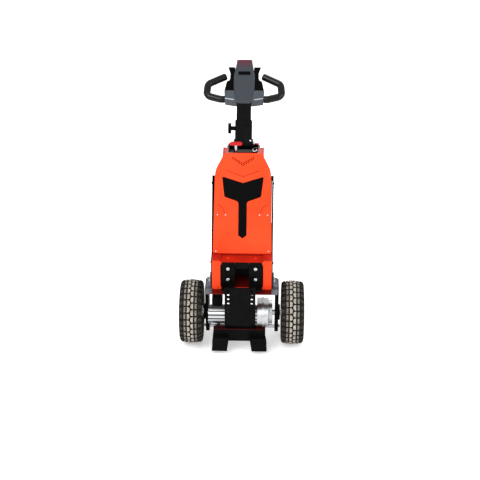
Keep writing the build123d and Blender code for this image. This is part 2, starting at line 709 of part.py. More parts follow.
# Gear case: a hull round the motor shaft and the axle, with a split flange and a round casting
with BuildPart() as gear_case:
    with BuildSketch(axle_axis.offset(GEAR_INNER_X)):
        Circle(GEAR_AXLE_R)
        with Locations((MOTOR_Y, MOTOR_UP)):
            Circle(GEAR_MOTOR_R)
        make_hull()
    extrude(amount=GEAR_W)
    fillet(gear_case.faces().sort_by(Axis.X)[-1].edges(), GEAR_ROUND)
    with BuildSketch(axle_axis.offset(GEAR_INNER_X + (GEAR_W - GEAR_FLANGE_W) / 2)):
        Circle(GEAR_AXLE_R + GEAR_FLANGE)
        with Locations((MOTOR_Y, MOTOR_UP)):
            Circle(GEAR_MOTOR_R + GEAR_FLANGE)
        make_hull()
    extrude(amount=GEAR_FLANGE_W)
    with BuildSketch(axle_axis.offset(GEAR_OUTER_X)):
        Circle(CASTING_D / 2)
    extrude(amount=CASTING_L)
    with BuildSketch(axle_axis.offset(GEAR_OUTER_X + CASTING_L)):
        Circle(SHAFT_D / 2 + RUN_FIT)
    extrude(amount=-SHAFT_SOCKET, mode=Mode.SUBTRACT)
pieces["gear_case"] = gear_case

# Brake box: a small case saddled on the motor
with BuildPart() as brake_box:
    with BuildSketch(side_view.offset(BRAKE_BOX_X)):
        with Locations((MOTOR_Y, MOTOR_Z + BRAKE_BOX_UP / 2)):
            Rectangle(BRAKE_BOX_D, BRAKE_BOX_UP)
    extrude(amount=BRAKE_BOX_W / 2, both=True)
    fillet(brake_box.edges().group_by(Axis.Z)[-1], EDGE_ROUND)
    with BuildSketch(motor_axis.offset(-HANGER_X)):
        Circle(MOTOR_D / 2 + SEAT_FIT)
    extrude(amount=HANGER_X + GEAR_INNER_X, mode=Mode.SUBTRACT)
pieces["brake_box"] = brake_box

# Axle tube: from the gear case to the left hanger, bored for the left half shaft
with BuildPart() as axle_tube:
    with BuildSketch(axle_axis.offset(-HANGER_X)):
        Circle(AXLE_TUBE_D / 2)
    extrude(amount=HANGER_X + GEAR_INNER_X)
    with BuildSketch(axle_axis.offset(-HANGER_X)):
        Circle(SHAFT_D / 2 + RUN_FIT)
    extrude(amount=SHAFT_SOCKET, mode=Mode.SUBTRACT)
pieces["axle_tube"] = axle_tube


# Hangers, their brackets and bearing housings, one set on each side
def axle_hanger(sign):
    with BuildPart() as hanger:
        with BuildSketch(side_view.offset(sign * HANGER_X)):
            with Locations((0, (SHELF_LOW_Z + AXLE_Z) / 2)):
                Rectangle(HANGER_TOP_L, SHELF_LOW_Z - AXLE_Z)
            with Locations((0, ROD_Z)):
                Circle(HANGER_TOE_R)
            make_hull()
            with Locations((0, AXLE_Z)):
                Circle(HANGER_BORE_D / 2, mode=Mode.SUBTRACT)
            with Locations((0, ROD_Z)):
                Circle(ROD_D / 2, mode=Mode.SUBTRACT)
        extrude(amount=sign * HANGER_T)
    return hanger


def hanger_bracket(sign):
    leg_x = PANEL_X + PANEL_T
    low_z = FRAME_FLOOR_Z
    with BuildPart() as bracket:
        with BuildSketch(Plane.XZ.offset(-HANGER_BRACKET_Y)):
            with BuildLine():
                Polyline(
                    (sign * leg_x, low_z),
                    (sign * BEARING_X, low_z),
                    (sign * BEARING_X, low_z + HANGER_BRACKET_T),
                    (sign * (leg_x + HANGER_BRACKET_T), low_z + 2 * HANGER_BRACKET_T),
                    (sign * (leg_x + HANGER_BRACKET_T), low_z + HANGER_BRACKET_H),
                    (sign * leg_x, low_z + HANGER_BRACKET_H),
                    close=True,
                )
            make_face()
        extrude(amount=HANGER_BRACKET_L / 2, both=True)
    return bracket


def bearing_housing(sign):
    with BuildPart() as housing:
        with BuildSketch(axle_axis.offset(sign * BEARING_X)):
            Circle(BEARING_D / 2)
            Circle(SHAFT_D / 2 + RUN_FIT, mode=Mode.SUBTRACT)
        extrude(amount=sign * BEARING_L)
        outer = housing.faces().filter_by(Axis.X).sort_by(Axis.X)[-1 if sign > 0 else 0]
        fillet(outer.edges().sort_by(SortBy.RADIUS)[-1], BEARING_ROUND)
    return housing


for side, sign in (("left", -1), ("right", 1)):
    pieces[f"axle_hanger_{side}"] = axle_hanger(sign)
    pieces[f"hanger_bracket_{side}"] = hanger_bracket(sign)
    pieces[f"bearing_housing_{side}"] = bearing_housing(sign)

# Stand rod: a straight rod through both hangers' lower ends
with BuildPart() as stand_rod:
    with BuildSketch(rod_axis):
        Circle(ROD_D / 2)
    extrude(amount=BEARING_X + ROD_OVERHANG, both=True)
pieces["stand_rod"] = stand_rod

# Front stand: a cross beam with two toes, held by two arms on the rod
with BuildPart() as front_stand:
    toe_top_z = BEAM_LOW_Z + TOE_LAP
    with BuildSketch(side_view.offset(STAND_X)):
        with Locations((BEAM_Y + BEAM_T / 2, BEAM_LOW_Z + BEAM_H / 2)):
            Rectangle(BEAM_T, BEAM_H)
    extrude(amount=BEAM_W / 2, both=True)
    with BuildSketch(Plane.XZ.offset(-BEAM_Y)):
        for sign in (-1, 1):
            with BuildLine():
                Polyline(
                    (STAND_X + sign * TOE_OUTER_X, toe_top_z),
                    (STAND_X + sign * TOE_OUTER_X, TOE_GROUND),
                    (STAND_X + sign * (TOE_INNER_X + TOE_TAPER), TOE_GROUND),
                    (STAND_X + sign * TOE_INNER_X, toe_top_z),
                    close=True,
                )
            make_face()
    extrude(amount=TOE_D)
    for sign in (-1, 1):
        with BuildSketch(side_view.offset(STAND_X + sign * ARM_X)):
            with Locations((0, ROD_Z)):
                Circle(ARM_H / 2)
            with Locations(((BEAM_Y + BEAM_T) / 2, ROD_Z)):
                Rectangle(-BEAM_Y - BEAM_T, ARM_H)
        extrude(amount=ARM_T / 2, both=True)
    with BuildSketch(rod_axis):
        Circle(ROD_D / 2)
    extrude(amount=FRAME_W, both=True, mode=Mode.SUBTRACT)
pieces["front_stand"] = front_stand

# Guard strip: a flat plate on the beam
with BuildPart() as guard_strip:
    with BuildSketch(Plane.XY.offset(BEAM_TOP_Z)):
        with Locations((STAND_X, BEAM_Y + STRIP_L / 2)):
            Rectangle(BEAM_W, STRIP_L)
    extrude(amount=STRIP_T)
pieces["guard_strip"] = guard_strip


# Drive wheels: tyre, rim and half shaft, turned about the axle
def tyre(sign):
    outer_r = TYRE_D / 2
    seat_r = RIM_SEAT_D / 2
    bead_x = BEAD_W / 2
    bead_r = RIM_FLANGE_D / 2 + SEAT_FIT
    crown_end = (TYRE_W / 2 - TYRE_CROWN_IN, outer_r - TYRE_CROWN_DROP)
    shoulder = (TYRE_W / 2, outer_r - TYRE_SHOULDER_R)
    with BuildPart() as ring:
        with BuildSketch(Plane.XY):
            with BuildLine():
                crown = TangentArc((0, outer_r), crown_end, tangent=(1, 0))
                TangentArc(crown_end, shoulder, tangent=crown % 1)
                Spline(shoulder, (TYRE_W / 2 - TYRE_WALL_TUCK, (outer_r + seat_r) / 2), (bead_x, bead_r))
                Polyline((bead_x, bead_r), (bead_x, seat_r), (0, seat_r), (0, outer_r))
            make_face()
            mirror(about=Plane.YZ)
        revolve(axis=Axis.X)
    return Pos(sign * WHEEL_X, 0, AXLE_Z) * ring.part


def rim(sign):
    seat_r = RIM_SEAT_D / 2
    flange_r = RIM_FLANGE_D / 2
    bead_x = BEAD_W / 2
    with BuildPart() as wheel:
        with BuildSketch(Plane.XY):
            with BuildLine():
                Polyline(
                    (sign * -HUB_INBOARD, SHAFT_D / 2),
                    (sign * -HUB_INBOARD, HUB_D / 2),
                    (sign * -DISC_T / 2, HUB_D / 2),
                    (sign * -DISC_T / 2, seat_r - RIM_WALL),
                    (sign * -(bead_x + RIM_FLANGE_T), seat_r - RIM_WALL),
                    (sign * -(bead_x + RIM_FLANGE_T), flange_r),
                    (sign * -bead_x, flange_r),
                    (sign * -bead_x, seat_r),
                    (sign * bead_x, seat_r),
                    (sign * bead_x, flange_r),
                    (sign * (bead_x + RIM_FLANGE_T), flange_r),
                    (sign * (bead_x + RIM_FLANGE_T), seat_r - RIM_WALL),
                    (sign * DISC_T / 2, seat_r - RIM_WALL),
                    (sign * DISC_T / 2, HUB_D / 2),
                    (sign * HUB_OUTBOARD, HUB_D / 2),
                    (sign * HUB_OUTBOARD, SHAFT_D / 2),
                    close=True,
                )
            make_face()
        revolve(axis=Axis.X)
        with BuildSketch(Plane.YZ.offset(-DISC_T / 2)):
            with PolarLocations((HUB_D / 2 + seat_r - RIM_WALL) / 2, DISC_HOLES):
                Circle(DISC_HOLE_D / 2)
        extrude(amount=DISC_T, mode=Mode.SUBTRACT)
    return Pos(sign * WHEEL_X, 0, AXLE_Z) * wheel.part


def half_shaft(sign):
    if sign > 0:
        inner_x = GEAR_OUTER_X + CASTING_L - SHAFT_SOCKET + SEAT_FIT
    else:
        inner_x = HANGER_X - SHAFT_SOCKET + SEAT_FIT
    with BuildPart() as shaft:
        with BuildSketch(axle_axis.offset(sign * inner_x)):
            Circle(SHAFT_D / 2)
        extrude(amount=sign * (WHEEL_X + HUB_OUTBOARD - inner_x))
    return shaft.part


wheel_solids = {}
for side, sign in (("left", -1), ("right", 1)):
    wheel_solids[f"tyre_{side}"] = tyre(sign)
    wheel_solids[f"rim_{side}"] = rim(sign)
    wheel_solids[f"half_shaft_{side}"] = half_shaft(sign)

# Caster plate: the fixed top plate with the swivel race under it
with BuildPart() as caster_plate:
    with BuildSketch(Plane.XY.offset(FRAME_FLOOR_Z)):
        with Locations((0, CASTER_Y)):
            RectangleRounded(CASTER_PLATE_L, CASTER_PLATE_L, EDGE_ROUND)
    extrude(amount=-CASTER_PLATE_T)
    with BuildSketch(Plane.XY.offset(RACE_LOW_Z)):
        with Locations((0, CASTER_Y)):
            Circle(RACE_D / 2)
    extrude(amount=RACE_H)
    with BuildSketch(Plane.XY.offset(RACE_LOW_Z)):
        with Locations((0, CASTER_Y)):
            Circle(KINGPIN_D / 2 + RUN_FIT)
    extrude(amount=RACE_H, mode=Mode.SUBTRACT)
pieces["caster_plate"] = caster_plate

# Caster fork: a round crown with the king pin, two legs and the wheel's pin
caster_pin_axis = Plane(
    origin=(0, CASTER_AXLE_Y, CASTER_AXLE_Z), x_dir=(0, 1, 0), z_dir=(1, 0, 0)
)
with BuildPart() as caster_fork:
    with BuildSketch(Plane.XY.offset(CROWN_LOW_Z)):
        with Locations((0, CASTER_Y)):
            Circle(RACE_D / 2)
    extrude(amount=CROWN_T)
    with BuildSketch(Plane.XY.offset(CROWN_TOP_Z)):
        with Locations((0, CASTER_Y)):
            Circle(KINGPIN_D / 2)
    extrude(amount=RACE_H)
    for sign in (-1, 1):
        with BuildSketch(side_view.offset(sign * FORK_INNER_X)):
            with Locations((CASTER_AXLE_Y, CASTER_AXLE_Z)):
                Circle(FORK_EYE_R)
            with Locations((CASTER_Y, CROWN_LOW_Z + FORK_T)):
                Rectangle(FORK_TOP_L, 2 * FORK_T)
            make_hull()
        extrude(amount=sign * FORK_T)
    with BuildSketch(caster_pin_axis):
        Circle(CASTER_PIN_D / 2)
    extrude(amount=FORK_INNER_X + FORK_T, both=True)
pieces["caster_fork"] = caster_fork

# Caster wheel: a hub with a web and a rim, and a solid tyre round it
caster_seat_r = CASTER_D / 2 - CASTER_TREAD
with BuildPart() as caster_hub:
    with BuildSketch(caster_pin_axis):
        Circle(caster_seat_r)
    extrude(amount=CASTER_W / 2 - SEAT_FIT, both=True)
    for sign in (-1, 1):
        with BuildSketch(caster_pin_axis.offset(sign * CASTER_W / 2)):
            Circle(caster_seat_r - RIM_WALL)
            Circle(CASTER_HUB_D / 2, mode=Mode.SUBTRACT)
        extrude(amount=-sign * (CASTER_W / 2 - DISC_T / 2), mode=Mode.SUBTRACT)
    with BuildSketch(caster_pin_axis):
        Circle(CASTER_HUB_D / 2)
    extrude(amount=FORK_INNER_X - SEAT_FIT, both=True)
    with BuildSketch(caster_pin_axis):
        Circle(CASTER_PIN_D / 2 + RUN_FIT)
    extrude(amount=FORK_INNER_X, both=True, mode=Mode.SUBTRACT)
pieces["caster_hub"] = caster_hub

with BuildPart() as caster_tyre:
    with BuildSketch(caster_pin_axis):
        Circle(CASTER_D / 2)
        Circle(caster_seat_r, mode=Mode.SUBTRACT)
    extrude(amount=CASTER_W / 2, both=True)
    fillet(caster_tyre.edges().filter_by(GeomType.CIRCLE).group_by(SortBy.RADIUS)[-1], CASTER_ROUND)
pieces["caster_tyre"] = caster_tyre

# Tiller outer tube: a flat tube with rounded corners and a round foot on the pivot
with BuildPart() as tiller_outer_tube:
    with BuildSketch(tiller_side):
        Circle(OUTER_TUBE_T / 2)
    extrude(amount=OUTER_TUBE_W / 2, both=True)
    with BuildSketch(tiller_end):
        RectangleRounded(OUTER_TUBE_W, OUTER_TUBE_T, TUBE_ROUND)
    extrude(amount=OUTER_TUBE_L)
    tube_top = tiller_outer_tube.faces().sort_by(Axis((0, 0, 0), tiller_along))[-1]
    chamfer(tube_top.edges(), TUBE_CHAMFER)
    with BuildSketch(tiller_end.offset(OUTER_TUBE_L)):
        RectangleRounded(INNER_TUBE_W + 2 * SEAT_FIT, INNER_TUBE_T + 2 * SEAT_FIT, TUBE_ROUND)
    extrude(amount=INNER_TUBE_FOOT - SEAT_FIT - OUTER_TUBE_L, mode=Mode.SUBTRACT)
    with BuildSketch(tiller_side):
        Circle(PIVOT_D / 2 + RUN_FIT)
    extrude(amount=OUTER_TUBE_W, both=True, mode=Mode.SUBTRACT)
pieces["tiller_outer_tube"] = tiller_outer_tube

# Clamp knob: a lobed disc on a stem at the tube's left side
knob_axis = Plane(
    origin=Vector(-OUTER_TUBE_W / 2, PIVOT_Y, PIVOT_Z) + tiller_along * KNOB_ALONG,
    x_dir=tiller_along,
    z_dir=(-1, 0, 0),
)
with BuildPart() as clamp_knob:
    with BuildSketch(knob_axis):
        Circle(KNOB_STEM_D / 2)
    extrude(amount=KNOB_STEM_L)
    with BuildSketch(knob_axis.offset(KNOB_STEM_L)):
        Circle(KNOB_D / 2 - KNOB_WAIST)
        with PolarLocations(KNOB_D / 2 - KNOB_LOBE_R, KNOB_LOBES):
            Circle(KNOB_LOBE_R)
    extrude(amount=KNOB_T)
pieces["clamp_knob"] = clamp_knob

# Tiller inner tube: slides in the outer tube and carries the head
with BuildPart() as tiller_inner_tube:
    inner_l = OUTER_TUBE_L + INNER_TUBE_OUT + HEAD_SOCKET - INNER_TUBE_FOOT
    with BuildSketch(tiller_end.offset(INNER_TUBE_FOOT)):
        RectangleRounded(INNER_TUBE_W, INNER_TUBE_T, TUBE_ROUND)
    extrude(amount=inner_l)
    with BuildSketch(tiller_end.offset(INNER_TUBE_FOOT)):
        Rectangle(INNER_TUBE_W - 2 * INNER_WALL, INNER_TUBE_T - 2 * INNER_WALL)
    extrude(amount=inner_l, mode=Mode.SUBTRACT)
pieces["tiller_inner_tube"] = tiller_inner_tube

# Head base: the wings that hold the grips, seated on the inner tube
with BuildPart() as head_base:
    with BuildSketch(head_face.offset(WING_TOP)):
        with BuildLine():
            Polyline(
                (0, WING_MID_LOW),
                (WING_MID_W / 2, WING_MID_LOW),
                (WING_W / 2, WING_LOW),
                (WING_W / 2, WING_HIGH),
                (0, WING_HIGH),
                close=True,
            )
        make_face()
        mirror(about=Plane.YZ)
    extrude(amount=-WING_T)
    fillet(head_base.faces().filter_by(head_face).edges(), WING_ROUND)
    with BuildSketch(tiller_end.offset(OUTER_TUBE_L)):
        RectangleRounded(INNER_TUBE_W, INNER_TUBE_T, TUBE_ROUND)
    extrude(amount=INNER_TUBE_OUT + HEAD_SOCKET, mode=Mode.SUBTRACT)
pieces["head_base"] = head_base

# Head shell: the central body with rounded sides, narrowing to the tip, its tongue on the wings
with BuildPart() as head_shell:
    with BuildSketch(head_face.offset(-HEAD_T / 2)):
        with BuildLine():
            FilletPolyline(
                (0, HEAD_FOOT),
                (HEAD_FOOT_W / 2, HEAD_FOOT),
                (HEAD_W / 2, HEAD_WAIST),
                (HEAD_W / 2, HEAD_SHOULDER),
                (HEAD_TIP_W / 2, HEAD_L),
                (0, HEAD_L),
                radius=(HEAD_FOOT_R, HEAD_SIDE_R, HEAD_SIDE_R, 0),
            )
            Line((0, HEAD_L), (0, HEAD_FOOT))
        make_face()
        mirror(about=Plane.YZ)
    extrude(amount=HEAD_T)
    with BuildSketch(head_side):
        with BuildLine():
            Polyline(
                (HEAD_FOOT, -HEAD_T / 2),
                (WING_HIGH, -HEAD_T / 2),
                (HEAD_L, HEAD_T / 2 - HEAD_TIP_T),
                (HEAD_L, HEAD_T / 2),
                (HEAD_FOOT, HEAD_T / 2),
                close=True,
            )
        make_face()
    extrude(amount=HEAD_W, both=True, mode=Mode.INTERSECT)
    top_edges = head_shell.faces().sort_by(Axis((0, 0, 0), head_out))[-1].edges()
    fillet(top_edges.sort_by(Axis((0, 0, 0), head_up))[:-1], HEAD_ROUND)
    with BuildSketch(head_face.offset(WING_TOP)):
        with Locations((0, WING_HIGH - HEAD_L / 2)):
            Rectangle(2 * HEAD_W, HEAD_L)
    extrude(amount=-2 * HEAD_T, mode=Mode.SUBTRACT)
pieces["head_shell"] = head_shell


# Grips: bent tubes from the wings' ends, out, up and back in to a free end
def grip_solid(sign):
    with BuildPart() as grip:
        with BuildLine(head_face.offset(-GRIP_DEPTH)) as route:
            FilletPolyline(
                (sign * WING_W / 2, GRIP_LOW),
                (sign * (WING_W / 2 + GRIP_ROOT), GRIP_LOW),
                (sign * GRIP_OUT_X, GRIP_OUT_LOW),
                (sign * (GRIP_OUT_X - GRIP_LEAN), GRIP_OUT_TOP),
                (sign * (HEAD_W / 2 + GRIP_END_GAP), GRIP_END_UP),
                radius=GRIP_BEND_R,
            )
        with BuildSketch(Plane(origin=route.line @ 0, z_dir=route.line % 0)):
            Circle(GRIP_D / 2)
        sweep()
    return grip


pieces["grip_left"] = grip_solid(-1)
pieces["grip_right"] = grip_solid(1)

# Side pods and thumb paddles beside the head shell
with BuildPart() as side_pods:
    with BuildSketch(head_face.offset(POD_TOP)):
        with BuildLine():
            FilletPolyline(
                (HEAD_W / 2, WING_HIGH),
                (HEAD_W / 2 + POD_REACH, WING_HIGH),
                (HEAD_W / 2 + POD_REACH - POD_TAPER, POD_HIGH),
                (HEAD_W / 2, POD_HIGH),
                radius=(0, POD_ROUND),
            )
            Line((HEAD_W / 2, POD_HIGH), (HEAD_W / 2, WING_HIGH))
        make_face()
        mirror(about=Plane.YZ)
    extrude(amount=-POD_T)
pieces["side_pods"] = side_pods

with BuildPart() as thumb_paddles:
    with BuildSketch(head_face.offset(-PADDLE_T / 2)):
        with BuildLine():
            Polyline(
                (HEAD_W / 2, POD_HIGH),
                (HEAD_W / 2 + PADDLE_FOOT_W, POD_HIGH),
                (HEAD_W / 2 + PADDLE_WAIST_W, POD_HIGH + PADDLE_WAIST_UP),
                (HEAD_W / 2 + PADDLE_WAIST_W, POD_HIGH + PADDLE_WAIST_UP + PADDLE_WAIST_L),
                (HEAD_W / 2 + PADDLE_TIP_W, POD_HIGH + PADDLE_L),
                (HEAD_W / 2, POD_HIGH + PADDLE_L),
                close=True,
            )
        make_face()
        mirror(about=Plane.YZ)
    extrude(amount=PADDLE_T)
pieces["thumb_paddles"] = thumb_paddles

# Rocker switch on the head's upper face and the belly button as a cap at its tip
with BuildPart() as rocker_switch:
    with BuildSketch(head_face.offset(HEAD_T / 2)):
        with Locations((0, ROCKER_ALONG)):
            RectangleRounded(ROCKER_W, ROCKER_L, ROCKER_ROUND)
    extrude(amount=ROCKER_T)
pieces["rocker_switch"] = rocker_switch

tip_middle = head_foot + head_up * HEAD_L + head_out * ((HEAD_T - HEAD_TIP_T) / 2)
with BuildPart() as belly_button:
    with BuildSketch(Plane(origin=tip_middle, x_dir=(1, 0, 0), z_dir=head_up)):
        RectangleRounded(HEAD_TIP_W, HEAD_TIP_T, HEAD_ROUND)
    extrude(amount=BELLY_T)
    fillet(belly_button.faces().sort_by(Axis((0, 0, 0), head_up))[-1].edges(), BELLY_ROUND)
pieces["belly_button"] = belly_button

# The middle of the whole in Y becomes the origin, and each piece is written to its own file
solids = {name: piece.part for name, piece in pieces.items()} | wheel_solids
whole = Compound(children=[Compound(solid.wrapped) for solid in solids.values()]).bounding_box()
to_middle = Pos(0, -(whole.min.Y + whole.max.Y) / 2, 0)
for name, solid in solids.items():
    placed = to_middle * solid
    placed.label = name
    export_step(placed, f"parts/{name}.step")
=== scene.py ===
# %% [markdown]
# # A pedestrian electric tow tug
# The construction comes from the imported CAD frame, in metres, with +Z up and the hitch towards -Y.
# This lesson gives each piece its finish, rounds its edges, and adds the tread, bolts and small trim.
# Most lengths on the object are named in millimetres, and MM turns them to metres where they are used.

# %% Load the fixed frame
import json
import math

import bpy
from mathutils import Matrix, Vector
from mathutils.bvhtree import BVHTree

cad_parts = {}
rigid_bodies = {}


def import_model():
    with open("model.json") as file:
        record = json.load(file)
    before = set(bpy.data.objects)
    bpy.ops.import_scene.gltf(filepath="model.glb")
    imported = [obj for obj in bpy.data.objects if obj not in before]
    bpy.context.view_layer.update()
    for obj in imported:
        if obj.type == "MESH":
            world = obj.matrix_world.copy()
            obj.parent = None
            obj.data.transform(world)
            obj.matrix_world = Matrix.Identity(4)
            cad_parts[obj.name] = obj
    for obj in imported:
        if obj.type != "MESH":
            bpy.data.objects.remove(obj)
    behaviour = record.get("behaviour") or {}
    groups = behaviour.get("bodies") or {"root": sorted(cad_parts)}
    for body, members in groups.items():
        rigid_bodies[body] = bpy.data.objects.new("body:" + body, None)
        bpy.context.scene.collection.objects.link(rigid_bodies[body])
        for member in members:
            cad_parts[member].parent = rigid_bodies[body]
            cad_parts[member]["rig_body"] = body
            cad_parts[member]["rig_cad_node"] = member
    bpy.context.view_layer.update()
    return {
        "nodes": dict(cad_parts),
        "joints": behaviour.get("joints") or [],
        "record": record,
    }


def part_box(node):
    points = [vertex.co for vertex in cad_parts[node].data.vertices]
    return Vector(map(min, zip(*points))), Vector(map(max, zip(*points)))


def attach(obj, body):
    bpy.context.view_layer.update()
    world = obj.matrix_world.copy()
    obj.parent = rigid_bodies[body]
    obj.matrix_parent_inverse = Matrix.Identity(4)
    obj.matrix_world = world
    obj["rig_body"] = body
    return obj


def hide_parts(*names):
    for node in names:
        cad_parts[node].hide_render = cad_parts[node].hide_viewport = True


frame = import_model()
nodes = frame["nodes"]
body_of_node = {
    node: body for body, members in frame["record"]["behaviour"]["bodies"].items() for node in members
}
joint_at = {joint["name"]: Vector(joint.get("pos_m", (0, 0, 0))) for joint in frame["joints"]}
axle = joint_at["left_wheel_turn"] * Vector((0, 1, 1))
MM = 0.001


def at(x, y, z):
    """A place in millimetres: across, back from the drive axle, and up from the floor."""
    return Vector((x * MM, axle.y + y * MM, z * MM))


print(len(nodes), "CAD nodes, axle at", [round(value, 4) for value in axle])


# %% [markdown]
# ## Camera
# The picture is taken from about 4 m in front and 27 degrees above, almost straight on. A camera could also
# follow an empty with a constraint, but a position and one look direction are easier to read.

# %% Place the camera
VIEW_AZIMUTH = 1.447
VIEW_ELEVATION = 27.208
VIEW_DISTANCE = 4.024
AIM_OFFSET = Vector((-0.0087, 0.0, 0.340))
FOCAL_PIXELS = 987.0
FRAME_PIXELS = 480.0
SENSOR_MM = 36.0
FAR_CLIP = 60.0

azimuth = math.radians(VIEW_AZIMUTH)
elevation = math.radians(VIEW_ELEVATION)
look = Vector((
    -math.sin(azimuth) * math.cos(elevation),
    math.cos(azimuth) * math.cos(elevation),
    -math.sin(elevation),
))
bpy.ops.object.select_all(action="DESELECT")
bpy.ops.object.camera_add(location=axle + AIM_OFFSET - look * VIEW_DISTANCE)
camera = bpy.context.object
camera.rotation_euler = look.to_track_quat("-Z", "Y").to_euler()
camera.data.sensor_width = SENSOR_MM
camera.data.lens = FOCAL_PIXELS / FRAME_PIXELS * SENSOR_MM
camera.data.clip_end = FAR_CLIP
bpy.context.scene.camera = camera
bpy.context.scene.view_settings.view_transform = "Standard"
print("camera lens", round(camera.data.lens, 1), "mm")


# %% [markdown]
# ## Finishes
# Every finish starts from what the real surface is and how it was made. One helper turns a hex colour to
# linear light, and one adds a node with its settings and links. Three more lay patches, gloss and grain over
# a surface, with their sizes in millimetres. Each finish is then a short function.

# %% Helpers for finishes
BODY_ORANGE = "#FF4A20"
GRAIN_DETAIL = 3.0
GLOSS_DETAIL = 4.0
PATCH_DETAIL = 5.0
PATCH_LOW = 0.35
PATCH_HIGH = 0.65
FINISHES = {}


def linear(hex_colour):
    """An sRGB hex colour as linear red, green, blue and alpha."""
    channels = [int(hex_colour[i:i + 2], 16) / 255 for i in (1, 3, 5)]
    return [c / 12.92 if c <= 0.04045 else ((c + 0.055) / 1.055) ** 2.4 for c in channels] + [1.0]


def add_node(tree, kind, settings=None, values=None, links=None):
    """Adds one shader node, sets its properties and sockets, and links sockets into it."""
    made = tree.nodes.new(kind)
    for key, value in (settings or {}).items():
        setattr(made, key, value)
    for key, value in (values or {}).items():
        made.inputs[key].default_value = value
    for key, source in (links or {}).items():
        tree.links.new(source, made.inputs[key])
    return made


def start_finish(name, colour, roughness, metallic=0.0, **sockets):
    """A principled surface with its plain values on its own sockets."""
    finish = bpy.data.materials.new(name)
    finish.use_nodes = True
    tree = finish.node_tree
    shader = tree.nodes["Principled BSDF"]
    shader.inputs["Base Color"].default_value = linear(colour)
    shader.inputs["Roughness"].default_value = roughness
    shader.inputs["Metallic"].default_value = metallic
    for key, value in sockets.items():
        shader.inputs[key.replace("_", " ")].default_value = value
    coordinates = add_node(tree, "ShaderNodeTexCoord")
    return finish, tree, shader, coordinates.outputs["Object"]


def per_metre(size_mm):
    """The texture scale that gives features of about this size."""
    return 1.0 / (size_mm * MM)


def add_grain(tree, shader, place, size_mm, height_mm, strength):
    """A fine relief on the surface: moulding grain, orange peel or casting skin."""
    noise = add_node(
        tree, "ShaderNodeTexNoise", values={"Scale": per_metre(size_mm), "Detail": GRAIN_DETAIL},
        links={"Vector": place})
    bump = add_node(tree, "ShaderNodeBump", values={"Strength": strength, "Distance": height_mm * MM},
                    links={"Height": noise.outputs["Fac"]})
    tree.links.new(bump.outputs["Normal"], shader.inputs["Normal"])


def vary_colour(tree, shader, place, size_mm, dark, light):
    """Broad patches of two near tones, as handling and dust leave them."""
    noise = add_node(
        tree, "ShaderNodeTexNoise", values={"Scale": per_metre(size_mm), "Detail": PATCH_DETAIL},
        links={"Vector": place})
    ramp = add_node(tree, "ShaderNodeValToRGB", links={"Fac": noise.outputs["Fac"]})
    ramp.color_ramp.elements[0].position = PATCH_LOW
    ramp.color_ramp.elements[1].position = PATCH_HIGH
    ramp.color_ramp.elements[0].color = linear(dark)
    ramp.color_ramp.elements[1].color = linear(light)
    tree.links.new(ramp.outputs["Color"], shader.inputs["Base Color"])


def vary_roughness(tree, shader, place, size_mm, low, high):
    """A gloss that wanders a little, so that highlights break up as on a real coat."""
    noise = add_node(
        tree, "ShaderNodeTexNoise", values={"Scale": per_metre(size_mm), "Detail": GLOSS_DETAIL},
        links={"Vector": place})
    spread = add_node(tree, "ShaderNodeMapRange", values={"To Min": low, "To Max": high},
                      links={"Value": noise.outputs["Fac"]})
    tree.links.new(spread.outputs["Result"], shader.inputs["Roughness"])


def layered_finish(name, colour, roughness, metallic=0.0, patches=None, gloss=None, grain=None, **sockets):
    """A whole finish: patches of two tones, a wandering gloss and a grain, each only where it is given.

    A layer is a size in millimetres and two more values: dark and light, low and high, height and strength.
    """
    finish, tree, shader, place = start_finish(name, colour, roughness, metallic, **sockets)
    if patches:
        vary_colour(tree, shader, place, *patches)
    if gloss:
        vary_roughness(tree, shader, place, *gloss)
    if grain:
        add_grain(tree, shader, place, *grain)
    return finish


def keep_finishes(*makers):
    """Makes finishes, keeps each under its function's name, and says which they are."""
    for maker in makers:
        FINISHES[maker.__name__] = maker()
    print("finishes:", ", ".join(maker.__name__ for maker in makers))


print("body orange in linear light:", [round(channel, 3) for channel in linear(BODY_ORANGE)])


# %% [markdown]
# The body colour is a gloss orange coat with a faint orange peel, about 2 mm from crest to crest. The photo
# shows deeper reds inside the frame, on the ledge and on the guard strip, where the coat lies in shade, and
# those get coats of their own that are painted shade. Black steel is powder coat with a fine sandy grain. The
# small brackets are black steel too, coated grey as painted light. A picture could show all this, but noise
# nodes keep their size on every piece.

# %% Coats on sheet steel
def orange_gloss_coat():
    # Gloss two-pack paint on sheet and moulding: saturated, with soft wide highlights
    return layered_finish(
        "orange_gloss_coat", BODY_ORANGE, 0.38, IOR=1.5, Specular_IOR_Level=0.1,
        patches=(140, "#FA431B", "#FF4E26"), gloss=(18, 0.32, 0.46), grain=(2.2, 0.03, 0.35))


def painted_shade_red_coat():
    # Inside the frame and on the shelf the orange coat lies in shade and shows a deep red: painted shade, as
    # a darker coat of the same kind
    return layered_finish(
        "painted_shade_red_coat", "#5C0A06", 0.45, IOR=1.5, Specular_IOR_Level=0.15,
        patches=(60, "#500804", "#680D07"), grain=(2.2, 0.03, 0.35))


def painted_shade_ledge_coat():
    # The ledge under the cover, the grooves, the lip and the deck's rim lie in shade and show a deeper red
    # than the fronts: painted shade
    return layered_finish(
        "painted_shade_ledge_coat", "#B01A08", 0.42, IOR=1.5, Specular_IOR_Level=0.2,
        patches=(60, "#A31606", "#BC200B"), grain=(2.2, 0.03, 0.35))


def black_powder_coat():
    # Powder coat on plate steel: satin black with a sandy grain that scatters highlights
    return layered_finish(
        "black_powder_coat", "#050505", 0.46, IOR=1.5, Specular_IOR_Level=0.05,
        patches=(45, "#050505", "#0C0C0C"), gloss=(12, 0.38, 0.55), grain=(0.9, 0.03, 0.5))


def black_sheet_coat():
    # The big side sheets have a duller, flat black coat that hardly mirrors anything
    return layered_finish(
        "black_sheet_coat", "#070707", 0.7, IOR=1.5, Specular_IOR_Level=0.0,
        patches=(60, "#050505", "#0B0B0B"), grain=(0.9, 0.03, 0.5))


